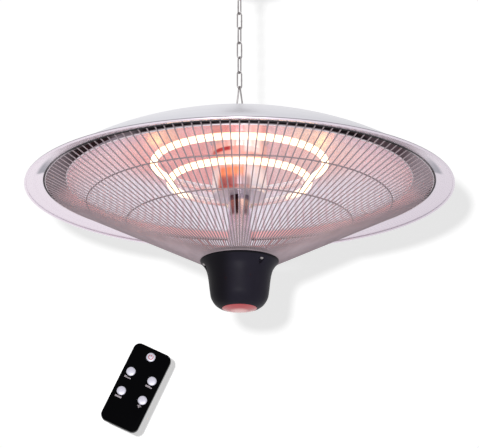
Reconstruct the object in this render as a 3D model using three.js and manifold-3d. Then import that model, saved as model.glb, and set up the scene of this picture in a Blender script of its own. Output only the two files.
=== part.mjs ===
// A hanging patio heater with its chain, its ceiling plate and its remote control.
// Millimetres, +Z up. The origin is the middle of the ceiling plate's top face.
// The heater's own heights are counted from the plane of the dish's rim.

import * as THREE from "three";
import { mergeVertices } from "three/addons/utils/BufferGeometryUtils.js";
import Module from "manifold-3d";

// Driving sizes shared by several pieces

const seatGap = 0.3; // between two faces that touch on the real object
const cutOverrun = 2; // how far a cutting solid runs past the wall it cuts
const mergeDistance = 0.0002;

const dishFacets = 40;
const hubFacets = 28;
const roundFacets = 18;
const smallFacets = 12;
const wireFacets = 6;
const wireSteps = 36;

// Spun outer dish

const rimRadius = 300;
const rimBeadRadius = 1.8;
const dishSheet = 1;
const flareWidth = 27; // from the rim in to where it turns up into the dome
const lipRadius = rimRadius - flareWidth;
const lipRise = 6;
const domeBulge = 102.7;
const domePowerShare = 1.287;
const domeRootShare = 1.417;
const dishPadRadius = 78; // flat middle of the dome
const domeSteps = 7;

// Polished reflector

const reflectorEdgeGap = 31.5; // open slot between the reflector's edge and the lip
const reflectorRadius = lipRadius - reflectorEdgeGap;
const reflectorRise = 10.5;
const reflectorSheet = 0.8;
const reflectorBulge = 63;
const reflectorPowerShare = 1.9;
const reflectorRootShare = 1.3;
const reflectorPadRadius = 62;
const reflectorBeadRadius = 1.3;
const reflectorSteps = 5;
const spacerRadius = 5;
const spacerCircleRadius = 52;
const spacerCount = 3;

// Threaded rod on the axis, with its nuts

const rodRadius = 4;
const rodFit = 0.35;
const rodTopReach = 3; // beyond the upper nut
const rodBottomReach = 3;
const nutRadius = 7.5;
const nutHeight = 6.5;
const nutSides = 6;

// Hanging bracket and bail

const bracketSheet = 2;
const bracketWidth = 18;
const bracketEarHeight = 22;
const bailFootRise = 16.22; // of the bail's feet over the dome's flat middle
const bailHeight = 42;
const bailWireRadius = 1.15;
const bailFootReach = 17;
const bailHalfSpread = 10;
const bailEarHalfGap = 12.4;
const bailHoleFit = 0.35;

// Chain, hook and ceiling plate

const linkCount = 7;
const linkPitch = 22.5;
const linkWireRadius = 1;
const linkOuterWidth = 9;
const chainTurn = 32; // degrees by which the links are turned from the front
const hookWireRadius = 2;
const hookBendRadius = 8;
const hookNeck = 6;
const hookStart = 50; // degrees round the bend, from its side, where the neck joins it
const hookSweep = 250;
const hookSocketRadius = 3;
const hookSocketDepth = 7;
const hookSocketFit = 0.3;
const plateRadius = 36;
const plateThickness = 4;
const plateBossRadius = 10;
const plateBossHeight = 10;
const plateScrewRadius = 2.4;
const plateScrewHeadRadius = 4.6;
const plateScrewOffset = 24;

// Wiring on the dome

const coverWidth = 60;
const coverDepth = 46;
const coverHeight = 26;
const coverWall = 2;
const coverOffset = 46; // of the cover's middle behind the axis
const coverCornerRadius = 6;
const terminalWidth = 34;
const terminalDepth = 15;
const terminalHeight = 13;
const terminalOffset = 52;
const terminalWellRadius = 1.8;
const terminalWellDepth = 3;
const terminalWells = 3;
const glandBoreRadius = 4;
const glandThreadRadius = 7.6;
const glandFlangeRadius = 11;
const glandFlangeLength = 5;
const glandThreadLength = 14;
const glandInnerLength = 5;
const glandFit = 0.35;
const glandNutLength = 13;
const glandNutWall = 2.6;
const sealRadius = 6;
const sealLength = 6;
const loomRadius = 2.4;
const loomHoleRadius = 5;
const loomOffset = 31; // of the loom behind the axis, from the dome down into the can
const loomColumnOffset = 11.2;
const loomBend = 12;
const loomExitRadius = 3;

// Lamp can and column

const canRadius = 38;
const canSheet = 1;
const canBottomRise = -12;
const canFlange = 4;
const canHoleRadius = 14;
const columnRadius = 15.6;
const columnWall = 1.2;

// Ring lamps

const tubeRadius = 5;
const tubeWall = 1;
const filamentRadius = 1.1;
const outerLampRadius = 120;
const outerLampRise = 37;
const lampSpacing = 23;
const innerLampRadius = outerLampRadius - lampSpacing;
const innerLampRise = 9.5;
const lampSteps = 32;
const capRadius = 8;
const capLength = 16;
const capBoreDepth = 8;
const capBoreFit = 0.6;
const tubeInset = 1.2; // of the tube's end from the floor of the cap's bore
const holderSheet = 3;
const holderWidth = 16;
const holderDrop = 9; // of the holder below the lamp's middle

// Wire guard

const wireCount = 136;
const wireWidth = 1.8;
const guardLipGap = 3.2; // from the lip in to where the wires end
const guardOuterFace = lipRadius - guardLipGap;
const guardOuterRise = 4.8;
const guardRingDepth = 1.8;
const guardRingHeight = 2;
const guardInnerFace = 56;
const guardInnerRise = -103.4;
const guardInnerDepth = 3;
const supportWireRadius = 1;
const outerSupportRadius = 213;
const innerSupportRadius = 157.6;
const supportFacets = 40;

// Hub

const hubPlateRadius = 57.5;
const hubPlateSheet = 1.5;
const hubHeight = 68;
const hubWall = 2.2;
const hubLensRadius = 24;
const hubOutlineShares = [
  // radius as a share of the flange's, drop as a share of the hub's height
  [1, 0],
  [1, 0.03],
  [0.923, 0.1],
  [0.849, 0.205],
  [0.797, 0.38],
  [0.753, 0.665],
  [0.72, 0.79],
  [0.628, 0.91],
  [0.52, 0.975],
];
const lensDomeShares = [
  // radius as a share of the lens's, drop as a share of the dome's
  [0, 1],
  [0.5, 0.75],
  [0.85, 0.3],
  [1, 0],
];
const hubFlangeRadius = 54.2;
const lensDome = 4;
const lensWall = 2.5;
const lensFlange = 3;
const lensFlangeHeight = 2;
const lensFit = 0.3;
const hubScrewCount = 3;
const hubScrewTurn = 38; // degrees from the front towards +X
const hubScrewCircleRadius = 48.5;
const hubScrewRadius = 1.6;
const hubScrewFit = 0.3;
const hubScrewHeadRadius = 2.9;
const hubScrewHeadHeight = 2;
const hubBossRadius = 6;
const hubBossHeight = 18;
const hubRecessRadius = 3.6;
const hubRecessDrop = 6; // of the recess's floor below the flange
const postRadius = 2.5;
const postLength = 16;
const postOffset = 26;
const boardSheet = 1.6;
const boardWidth = 60;
const boardDepth = 34;
const relayWidth = 18;
const relayDepth = 15;
const relayHeight = 12;
const relayOffset = 15;
const canisterRadius = 5;
const canisterHeight = 11;
const receiverBoardRadius = 25.5;
const receiverWidth = 6;
const receiverDepth = 5;
const receiverHeight = 2.2;

// Remote control

const remoteWidth = 51.3;
const remoteLength = 109;
const remoteThickness = 9;
const remoteCornerRadius = 8.5;
const remoteWall = 1.6;
const remoteFaceWall = 1.8;
const remoteTilt = 25.3; // degrees, top leaning towards +X
const remoteX = -130.9;
const remoteY = -212;
const remoteRise = -332.8;
const remoteFrontDepth = 4.5;
const remoteCornerFacets = 4;
const buttonRadius = 6.1;
const buttonProud = 0.9;
const buttonFit = 0.25;
const buttonFlange = 0.8;
const buttonFlangeHeight = 0.7;
const buttonTravel = 0.7;
const buttonDome = 0.4;
const buttonColumnOffset = 14.8;
const powerButtonInset = 11.5; // from the remote's upper end
const upperButtonInset = 38.8;
const lowerButtonInset = 66.3;
const remoteBoardSheet = 1.2;
const remoteBoardInset = 3.65;
const remoteBoardEndInset = 5.5;
const remoteLedge = 4;
const cellRadius = 10;
const cellThickness = 1.6;
const drawerWidth = 25;
const drawerLength = 27;
const drawerFloor = 0.6;
const drawerHeight = 2.6;
const drawerFit = 0.3;

// Materials

function finish(color, roughness, metalness) {
  return new THREE.MeshStandardMaterial({ color, roughness, metalness });
}

const finishes = {
  spunSteel: finish(0xd9d9de, 0.35, 0.9),
  mirror: finish(0xe6dcdd, 0.08, 1),
  zincSteel: finish(0x9c9a9d, 0.4, 0.9),
  guardSteel: finish(0x8d868a, 0.3, 0.9),
  chrome: finish(0xd2d2d6, 0.12, 1),
  blackPlastic: finish(0x232127, 0.45, 0),
  redLens: finish(0xc4484e, 0.2, 0),
  quartz: finish(0xf4efe6, 0.1, 0),
  tungsten: finish(0xffb46a, 0.5, 0.3),
  ceramic: finish(0xe9e4d8, 0.6, 0),
  board: finish(0x2f6b45, 0.5, 0),
  rubber: finish(0x1c1c1e, 0.8, 0),
  silverPlastic: finish(0xe4e4e8, 0.3, 0.1),
  terminalPlastic: finish(0xd8d2c0, 0.6, 0),
  loomSleeve: finish(0xb9432f, 0.7, 0),
};

// Solids: closed meshes, their joins and their cuts

const wasm = await Module();
wasm.setup();

function closed(geometry) {
  const bare = geometry.clone();
  bare.deleteAttribute("normal");
  bare.deleteAttribute("uv");
  const merged = mergeVertices(bare, mergeDistance);
  const corners = merged.index.array;
  const kept = [];
  for (let i = 0; i < corners.length; i += 3) {
    const [a, b, c] = [corners[i], corners[i + 1], corners[i + 2]];
    if (a !== b && b !== c && c !== a) {
      kept.push(a, b, c);
    }
  }
  merged.setIndex(kept);
  return signedVolume(merged) < 0 ? flipped(merged) : merged;
}

function signedVolume(geometry) {
  const place = geometry.attributes.position;
  const corners = geometry.index.array;
  const [a, b, c] = [new THREE.Vector3(), new THREE.Vector3(), new THREE.Vector3()];
  let sum = 0;
  for (let i = 0; i < corners.length; i += 3) {
    a.fromBufferAttribute(place, corners[i]);
    b.fromBufferAttribute(place, corners[i + 1]);
    c.fromBufferAttribute(place, corners[i + 2]);
    sum += a.dot(b.cross(c));
  }
  return sum / 6;
}

function flipped(geometry) {
  const corners = Array.from(geometry.index.array);
  for (let i = 0; i < corners.length; i += 3) {
    [corners[i], corners[i + 1]] = [corners[i + 1], corners[i]];
  }
  geometry.setIndex(corners);
  return geometry;
}

function toManifold(geometry) {
  const solid = closed(geometry);
  const mesh = new wasm.Mesh({
    numProp: 3,
    vertProperties: new Float32Array(solid.attributes.position.array),
    triVerts: new Uint32Array(solid.index.array),
  });
  return new wasm.Manifold(mesh);
}

function fromManifold(manifold) {
  const mesh = manifold.getMesh();
  const geometry = new THREE.BufferGeometry();
  geometry.setAttribute("position", new THREE.BufferAttribute(new Float32Array(mesh.vertProperties), 3));
  geometry.setIndex(Array.from(mesh.triVerts));
  return geometry;
}

function joined(first, ...others) {
  return fromManifold(others.reduce((sum, next) => sum.add(toManifold(next)), toManifold(first)));
}

function cut(first, ...tools) {
  return fromManifold(tools.reduce((rest, tool) => rest.subtract(toManifold(tool)), toManifold(first)));
}

// Basic shapes, upright along Z

function turned(outline, facets) {
  const points = outline.map(([radius, height]) => new THREE.Vector2(radius, height));
  return new THREE.LatheGeometry(points, facets).rotateX(Math.PI / 2);
}

function ringed(outline, facets) {
  return turned([...outline, outline[0]], facets);
}

function rod(radius, bottom, top, facets = smallFacets) {
  return turned([[0, bottom], [radius, bottom], [radius, top], [0, top]], facets);
}

function collar(inner, outer, bottom, top, facets = smallFacets) {
  return ringed([[inner, bottom], [outer, bottom], [outer, top], [inner, top]], facets);
}

function block(width, depth, bottom, top) {
  return new THREE.BoxGeometry(width, depth, top - bottom).translate(0, 0, (bottom + top) / 2);
}

function roundedPlate(width, length, radius, bottom, top) {
  const [x, y] = [width / 2, length / 2];
  const shape = new THREE.Shape();
  shape.absarc(x - radius, y - radius, radius, 0, Math.PI / 2);
  shape.absarc(radius - x, y - radius, radius, Math.PI / 2, Math.PI);
  shape.absarc(radius - x, radius - y, radius, Math.PI, (3 * Math.PI) / 2);
  shape.absarc(x - radius, radius - y, radius, (3 * Math.PI) / 2, 2 * Math.PI);
  const slab = new THREE.ExtrudeGeometry(shape, {
    depth: top - bottom,
    bevelEnabled: false,
    curveSegments: remoteCornerFacets,
  });
  return slab.translate(0, 0, bottom);
}

function circleShape(radius, facets, boreRadius = 0) {
  const corner = (r, i) => {
    const angle = (i / facets) * 2 * Math.PI;
    return new THREE.Vector2(r * Math.cos(angle), r * Math.sin(angle));
  };
  const steps = [...Array(facets).keys()];
  const shape = new THREE.Shape(steps.map((i) => corner(radius, i)));
  if (boreRadius > 0) {
    shape.holes.push(new THREE.Path(steps.map((i) => corner(boreRadius, i)).reverse()));
  }
  return shape;
}

function tubeAlong(path, steps, radius, facets, boreRadius = 0) {
  return new THREE.ExtrudeGeometry(circleShape(radius, facets, boreRadius), {
    steps,
    bevelEnabled: false,
    extrudePath: path,
  });
}

// A sheet that follows an outline: its other side lies one thickness below
function offsetOutline(outline, distance) {
  return outline.map((point, i) => {
    const before = outline[Math.max(i - 1, 0)];
    const after = outline[Math.min(i + 1, outline.length - 1)];
    const run = [after[0] - before[0], after[1] - before[1]];
    const size = Math.hypot(...run);
    return [point[0] + (run[1] / size) * distance, point[1] - (run[0] / size) * distance];
  });
}

function polar(radius, degrees) {
  const angle = THREE.MathUtils.degToRad(degrees);
  return [radius * Math.sin(angle), -radius * Math.cos(angle)];
}

// The assembly

const heater = new THREE.Group();
const assembly = new THREE.Group();
assembly.add(heater);

function piece(name, geometry, material, parent = heater) {
  const mesh = new THREE.Mesh(closed(geometry), material);
  mesh.name = name;
  parent.add(mesh);
  return mesh;
}

// Chain heights, counted from the ceiling down

const linkPlay = 2 * linkWireRadius + seatGap;
const linkReach = linkPitch + linkPlay; // between the middles of a link's two end wires
const hookBottom = -plateBossHeight - hookNeck - 2 * hookBendRadius;
const chainTop = hookBottom + hookWireRadius + linkWireRadius + seatGap;
const chainBottom = chainTop - linkCount * linkPitch - linkPlay;
const bailApex = chainBottom + linkWireRadius + bailWireRadius + seatGap;
const bailRise = domeRise(dishPadRadius) + bailFootRise;
const rimHeight = bailApex - bailRise - bailHeight;
heater.position.z = rimHeight;

const chain = new THREE.Group();
chain.rotation.z = THREE.MathUtils.degToRad(chainTurn);
assembly.add(chain);

// Dome and reflector outlines

function domeRise(radius) {
  const reach = 1 - (radius / lipRadius) ** domePowerShare;
  return lipRise + domeBulge * reach ** (1 / domeRootShare);
}

function reflectorHeight(radius) {
  const reach = 1 - (radius / reflectorRadius) ** reflectorPowerShare;
  return reflectorRise + reflectorBulge * reach ** (1 / reflectorRootShare);
}

function sampled(inner, outer, steps, height) {
  const points = [];
  for (let i = 0; i < steps; i += 1) {
    const near = 1 - i / steps;
    const radius = outer - (outer - inner) * near ** 2;
    points.push([radius, height(radius)]);
  }
  return points;
}

// The height of a sampled outline at a radius, met by the flats between a turned shell's corners
function heightOn(outline, radius, facets) {
  const reach = radius / Math.cos(Math.PI / facets);
  const after = outline.findIndex(([r]) => r >= reach);
  const [[r0, z0], [r1, z1]] = [outline[after - 1], outline[after]];
  return z0 + ((z1 - z0) * (reach - r0)) / (r1 - r0);
}

const reflectorUnderside = [
  ...sampled(reflectorPadRadius, reflectorRadius, reflectorSteps, reflectorHeight),
  [reflectorRadius, reflectorRise],
];
const dishPadRise = domeRise(dishPadRadius);
const dishPadUnder = dishPadRise - dishSheet;
const reflectorPadUnder = reflectorHeight(reflectorPadRadius);
const reflectorPadTop = reflectorPadUnder + reflectorSheet;

// Heights of the pieces clamped on the rod, and of what they carry

const guardSlope = Math.atan((guardOuterRise - guardInnerRise) / (guardOuterFace - guardInnerFace));
const hubPlateUnder = guardWireTop(hubPlateRadius) + 2 * seatGap;
const hubPlateTop = hubPlateUnder + hubPlateSheet;
const hubTop = guardInnerRise - wireWidth / 2 - seatGap;
const controlBoardTop = hubPlateUnder - postLength - seatGap;
const upperNutBottom = dishPadRise + bracketSheet + 2 * seatGap;
const rodTop = upperNutBottom + nutHeight + rodTopReach;
const lowerNutTop = hubPlateUnder - seatGap;
const rodBottom = lowerNutTop - nutHeight - rodBottomReach;
const coverBottom = dishPadRise + seatGap;
const glandRise = coverBottom + coverHeight / 2;
const terminalMiddle = coverBottom + terminalHeight / 2;
const sealStart = seatGap + glandThreadLength - sealLength;

// Ceiling plate, hook and chain

function ceilingPlate() {
  const body = turned(
    [
      [0, -plateBossHeight],
      [plateBossRadius, -plateBossHeight],
      [plateBossRadius, -plateThickness],
      [plateRadius, -plateThickness],
      [plateRadius, 0],
      [0, 0],
    ],
    roundFacets,
  );
  const socketRadius = hookSocketRadius + hookSocketFit;
  const socket = rod(socketRadius, -plateBossHeight - cutOverrun, hookSocketDepth - plateBossHeight);
  const screwHoles = [-plateScrewOffset, plateScrewOffset].map((x) => {
    const countersink = turned(
      [
        [0, -plateThickness - cutOverrun],
        [plateScrewHeadRadius, -plateThickness - cutOverrun],
        [plateScrewHeadRadius, -plateThickness],
        [plateScrewRadius, plateScrewHeadRadius - plateScrewRadius - plateThickness],
        [plateScrewRadius, cutOverrun],
        [0, cutOverrun],
      ],
      smallFacets,
    );
    return countersink.translate(x, 0, 0);
  });
  return cut(body, socket, ...screwHoles);
}

function ceilingHook() {
  const middle = hookBottom + hookBendRadius;
  const bendPoints = 10;
  const points = [
    new THREE.Vector3(0, 0, -plateBossHeight + hookWireRadius),
    new THREE.Vector3(0, 0, -plateBossHeight - hookNeck / 2),
  ];
  for (let i = 0; i <= bendPoints; i += 1) {
    const turn = THREE.MathUtils.degToRad(hookStart - (i / bendPoints) * hookSweep);
    const [x, z] = [hookBendRadius * Math.cos(turn), middle + hookBendRadius * Math.sin(turn)];
    points.push(new THREE.Vector3(x, 0, z));
  }
  const wire = tubeAlong(new THREE.CatmullRomCurve3(points), wireSteps / 2, hookWireRadius, wireFacets);
  const socketTop = hookSocketDepth - plateBossHeight - seatGap;
  return joined(wire, rod(hookSocketRadius, -plateBossHeight - hookNeck / 3, socketTop));
}

// A ring stretched along Z into a chain link
function linkShape() {
  const middleRadius = linkOuterWidth / 2 - linkWireRadius;
  const ring = new THREE.TorusGeometry(middleRadius, linkWireRadius, wireFacets, smallFacets);
  ring.rotateZ(Math.PI / smallFacets);
  const place = ring.attributes.position;
  const endReach = linkReach / 2 - middleRadius * Math.cos(Math.PI / smallFacets);
  for (let i = 0; i < place.count; i += 1) {
    place.setY(i, place.getY(i) + Math.sign(place.getY(i)) * endReach);
  }
  return ring.rotateX(Math.PI / 2);
}

function addChain() {
  piece("ceiling_plate", ceilingPlate(), finishes.zincSteel, assembly);
  piece("ceiling_hook", ceilingHook(), finishes.zincSteel, chain).rotation.z = Math.PI / 2;
  for (let i = 0; i < linkCount; i += 1) {
    const link = piece(`chain_link_${i + 1}`, linkShape(), finishes.zincSteel, chain);
    link.position.z = chainTop - i * linkPitch - linkReach / 2;
    link.rotation.z = (i % 2) * (Math.PI / 2);
  }
}

function bailShape() {
  const apex = bailRise + bailHeight;
  const shoulder = bailWireRadius + linkWireRadius;
  const side = (sign) => [
    [sign * bailFootReach, bailRise],
    [sign * (bailHalfSpread + 2 * bailWireRadius), bailRise],
    [sign * (bailHalfSpread + bailWireRadius / 2), bailRise + bailWireRadius],
    [sign * bailHalfSpread, bailRise + 3 * bailWireRadius],
    [sign * shoulder, apex - 2 * shoulder],
    [sign * shoulder, apex - shoulder],
  ];
  const points = [...side(-1), [0, apex], ...side(1).reverse()];
  const path = new THREE.CatmullRomCurve3(
    points.map(([x, z]) => new THREE.Vector3(x, 0, z)),
    false,
    "centripetal",
  );
  return tubeAlong(path, wireSteps, bailWireRadius, wireFacets);
}

function bracketShape() {
  const bottom = dishPadRise + seatGap;
  const top = bottom + bracketSheet;
  const earTop = bottom + bracketEarHeight;
  const earOuter = bailEarHalfGap + bracketSheet;
  const outer = block(2 * earOuter, bracketWidth, bottom, earTop);
  const inside = block(2 * bailEarHalfGap, bracketWidth + cutOverrun, top, earTop + cutOverrun);
  const rodHole = rod(rodRadius + rodFit, bottom - cutOverrun, top + cutOverrun);
  const feetHole = rod(bailWireRadius + bailHoleFit, -earOuter - cutOverrun, earOuter + cutOverrun);
  feetHole.rotateY(Math.PI / 2).translate(0, 0, bailRise);
  return cut(outer, inside, rodHole, feetHole);
}

function addHanger() {
  const acrossChain = THREE.MathUtils.degToRad(chainTurn) + Math.PI / 2;
  piece("hanging_bail", bailShape(), finishes.zincSteel).rotation.z = acrossChain;
  piece("hanging_bracket", bracketShape(), finishes.zincSteel).rotation.z = acrossChain;
}

// Dish, reflector and what holds them together

function dishShape() {
  const holeRadius = rodRadius + rodFit;
  const top = [
    [holeRadius, dishPadRise],
    ...sampled(dishPadRadius, lipRadius, domeSteps, domeRise),
    [lipRadius, lipRise + dishSheet],
  ];
  const bead = [
    [rimRadius - rimBeadRadius, rimBeadRadius],
    [rimRadius, rimBeadRadius / 2],
    [rimRadius, -rimBeadRadius / 2],
    [rimRadius - rimBeadRadius, -rimBeadRadius],
    [rimRadius - 2 * rimBeadRadius, 0],
  ];
  const underside = offsetOutline(top, dishSheet).reverse();
  const shell = ringed([...top, ...bead, ...underside], dishFacets);
  const loomHole = rod(loomHoleRadius, dishPadUnder - cutOverrun, dishPadRise + cutOverrun);
  return cut(shell, loomHole.translate(0, loomOffset, 0));
}

function reflectorShape() {
  const holeRadius = rodRadius + rodFit;
  const underside = [[holeRadius, reflectorPadUnder], ...reflectorUnderside];
  const bead = [
    [reflectorRadius, reflectorRise - reflectorBeadRadius / 2],
    [reflectorRadius + reflectorBeadRadius, reflectorRise - reflectorBeadRadius / 2],
    [reflectorRadius + reflectorBeadRadius, reflectorRise + reflectorBeadRadius],
  ];
  const top = offsetOutline(underside, -reflectorSheet).reverse();
  const shell = ringed([...underside, ...bead, ...top], dishFacets);
  const loomHole = rod(loomHoleRadius, reflectorPadUnder - cutOverrun, reflectorPadTop + cutOverrun);
  return cut(shell, loomHole.translate(0, loomOffset, 0));
}

function nut(bottom) {
  const bore = rod(rodRadius + rodFit, bottom - cutOverrun, bottom + nutHeight + cutOverrun);
  return cut(rod(nutRadius, bottom, bottom + nutHeight, nutSides), bore);
}

function addDish() {
  piece("outer_dish", dishShape(), finishes.spunSteel);
  piece("inner_reflector", reflectorShape(), finishes.mirror);
  for (let i = 0; i < spacerCount; i += 1) {
    const spacer = rod(spacerRadius, reflectorPadTop + seatGap, dishPadUnder - seatGap, smallFacets);
    const [x, y] = polar(spacerCircleRadius, (i * 360) / spacerCount);
    piece(`reflector_spacer_${i + 1}`, spacer, finishes.zincSteel).position.set(x, y, 0);
  }
  piece("threaded_rod", rod(rodRadius, rodBottom, rodTop), finishes.zincSteel);
  piece("rod_nut_top", nut(upperNutBottom), finishes.zincSteel);
  piece("rod_nut_bottom", nut(lowerNutTop - nutHeight), finishes.zincSteel);
}

// Wiring on the dome

function coverShape() {
  const top = coverBottom + coverHeight;
  const outer = roundedPlate(coverWidth, coverDepth, coverCornerRadius, coverBottom, top);
  const inside = roundedPlate(
    coverWidth - 2 * coverWall,
    coverDepth - 2 * coverWall,
    coverCornerRadius - coverWall,
    coverBottom - cutOverrun,
    top - coverWall,
  );
  const glandHole = alongY(rod(glandThreadRadius + glandFit, 0, coverDepth));
  return cut(outer, inside, glandHole.translate(0, 0, glandRise)).translate(0, coverOffset, 0);
}

// Turns an upright shape so that its top points to the back
function alongY(geometry) {
  return geometry.rotateX(-Math.PI / 2);
}

function glandShape() {
  const body = ringed(
    [
      [glandBoreRadius, -coverWall - glandInnerLength],
      [glandThreadRadius, -coverWall - glandInnerLength],
      [glandThreadRadius, seatGap],
      [glandFlangeRadius, seatGap],
      [glandFlangeRadius, seatGap + glandFlangeLength],
      [glandThreadRadius, seatGap + glandFlangeLength],
      [glandThreadRadius, seatGap + glandThreadLength],
      [sealRadius + glandFit, seatGap + glandThreadLength],
      [sealRadius + glandFit, sealStart - seatGap],
      [glandBoreRadius, sealStart - seatGap],
    ],
    smallFacets,
  );
  return alongY(body);
}

function glandNutShape() {
  const start = 2 * seatGap + glandFlangeLength;
  const inner = glandThreadRadius + glandFit;
  const body = ringed(
    [
      [inner, start],
      [inner + glandNutWall, start],
      [inner + glandNutWall, start + glandNutLength / 2],
      [glandThreadRadius, start + glandNutLength],
      [glandBoreRadius, start + glandNutLength],
      [glandBoreRadius, seatGap * 2 + glandThreadLength],
      [inner, seatGap * 2 + glandThreadLength],
    ],
    smallFacets,
  );
  return alongY(body);
}

function terminalShape() {
  const top = coverBottom + terminalHeight;
  const wells = [];
  for (let i = 0; i < terminalWells; i += 1) {
    const x = ((i + 1) / (terminalWells + 1) - 1 / 2) * terminalWidth;
    wells.push(rod(terminalWellRadius, top - terminalWellDepth, top + cutOverrun).translate(x, 0, 0));
  }
  const body = block(terminalWidth, terminalDepth, coverBottom, top);
  return cut(body, ...wells).translate(0, terminalOffset, 0);
}

function loomShape() {
  const start = terminalOffset - terminalDepth / 2 - seatGap;
  const bendDrop = loomOffset - loomColumnOffset;
  const bendMiddle = (canBottomRise + reflectorPadUnder) / 2;
  const places = [
    [start, terminalMiddle],
    [(start + loomOffset + loomBend) / 2, terminalMiddle],
    [loomOffset + loomBend / 3, terminalMiddle - loomBend / 6],
    [loomOffset, terminalMiddle - loomBend],
    [loomOffset, reflectorPadTop],
    [loomOffset, bendMiddle + bendDrop],
    [loomColumnOffset + bendDrop / 2, bendMiddle],
    [loomColumnOffset, bendMiddle - bendDrop],
    [loomColumnOffset, (canBottomRise + hubPlateTop) / 2],
    [loomColumnOffset, controlBoardTop + seatGap],
  ];
  const path = new THREE.CatmullRomCurve3(
    places.map(([y, z]) => new THREE.Vector3(0, y, z)),
    false,
    "centripetal",
  );
  return tubeAlong(path, wireSteps, loomRadius, wireFacets);
}

function addWiring() {
  piece("wiring_cover", coverShape(), finishes.blackPlastic);
  piece("terminal_block", terminalShape(), finishes.terminalPlastic);
  piece("wiring_loom", loomShape(), finishes.loomSleeve);
  const gland = new THREE.Group();
  gland.position.set(0, coverOffset + coverDepth / 2, glandRise);
  heater.add(gland);
  piece("cable_gland", glandShape(), finishes.blackPlastic, gland);
  piece("gland_nut", glandNutShape(), finishes.blackPlastic, gland);
  const seal = collar(glandBoreRadius, sealRadius, sealStart, sealStart + sealLength);
  piece("gland_seal", alongY(seal), finishes.rubber, gland);
}

// Can, column and lamps

function canShape() {
  const top = reflectorPadUnder - seatGap;
  const inner = canRadius - canSheet;
  return ringed(
    [
      [canHoleRadius, canBottomRise],
      [canRadius, canBottomRise],
      [canRadius, top - canSheet],
      [canRadius + canFlange, top - canSheet],
      [canRadius + canFlange, top],
      [inner, top],
      [inner, canBottomRise + canSheet],
      [canHoleRadius, canBottomRise + canSheet],
    ],
    roundFacets,
  );
}

// The nearly closed ring that a lamp follows, open at the back
class LampPath extends THREE.Curve {
  constructor(radius, height, endTurn) {
    super();
    this.radius = radius;
    this.height = height;
    this.endTurn = endTurn;
  }

  getPoint(share, target = new THREE.Vector3()) {
    const turn = Math.PI + this.endTurn + share * 2 * (Math.PI - this.endTurn);
    return target.set(this.radius * Math.sin(turn), -this.radius * Math.cos(turn), this.height);
  }
}

function capShape() {
  const bore = capBoreDepth / 2;
  const body = ringed(
    [
      [0, bore - capLength],
      [capRadius, bore - capLength],
      [capRadius, bore],
      [tubeRadius + capBoreFit, bore],
      [tubeRadius + capBoreFit, -bore],
      [0, -bore],
    ],
    smallFacets,
  );
  return body.rotateY(Math.PI / 2);
}

function holderShape(radius, height) {
  const top = heightOn(reflectorUnderside, radius + holderWidth / 2, dishFacets) - seatGap;
  return block(holderSheet, holderWidth, height - holderDrop, top).translate(0, radius, 0);
}

function addLamp(where, radius, height) {
  const bore = capBoreDepth / 2;
  const clear = holderSheet / 2 + seatGap + capLength - bore;
  const capTurn = Math.asin(clear / (radius - capRadius));
  const tubePath = new LampPath(radius, height, capTurn - (bore - tubeInset) / radius);
  const tube = tubeAlong(tubePath, lampSteps, tubeRadius, wireFacets, tubeRadius - tubeWall);
  piece(`quartz_ring_${where}`, tube, finishes.quartz);
  const filamentPath = new LampPath(radius, height, capTurn - (bore - seatGap) / radius);
  const filament = tubeAlong(filamentPath, lampSteps, filamentRadius, wireFacets - 2);
  piece(`filament_${where}`, filament, finishes.tungsten);
  for (const [side, sign] of [["right", 1], ["left", -1]]) {
    const cap = capShape();
    if (sign < 0) {
      cap.rotateZ(Math.PI);
    }
    cap.translate(0, radius, height).rotateZ(-sign * capTurn);
    piece(`lamp_cap_${where}_${side}`, cap, finishes.ceramic);
  }
  piece(`lamp_holder_${where}`, holderShape(radius, height), finishes.zincSteel);
}

function addLamps() {
  piece("lamp_can", canShape(), finishes.chrome);
  const sleeve = collar(
    columnRadius - columnWall,
    columnRadius,
    hubPlateTop + seatGap,
    canBottomRise - seatGap,
    roundFacets,
  );
  piece("column_sleeve", sleeve, finishes.chrome);
  addLamp("outer", outerLampRadius, outerLampRise);
  addLamp("inner", innerLampRadius, innerLampRise);
}

// Wire guard: two rings and the straight wires between them, as one welded mesh

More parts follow.
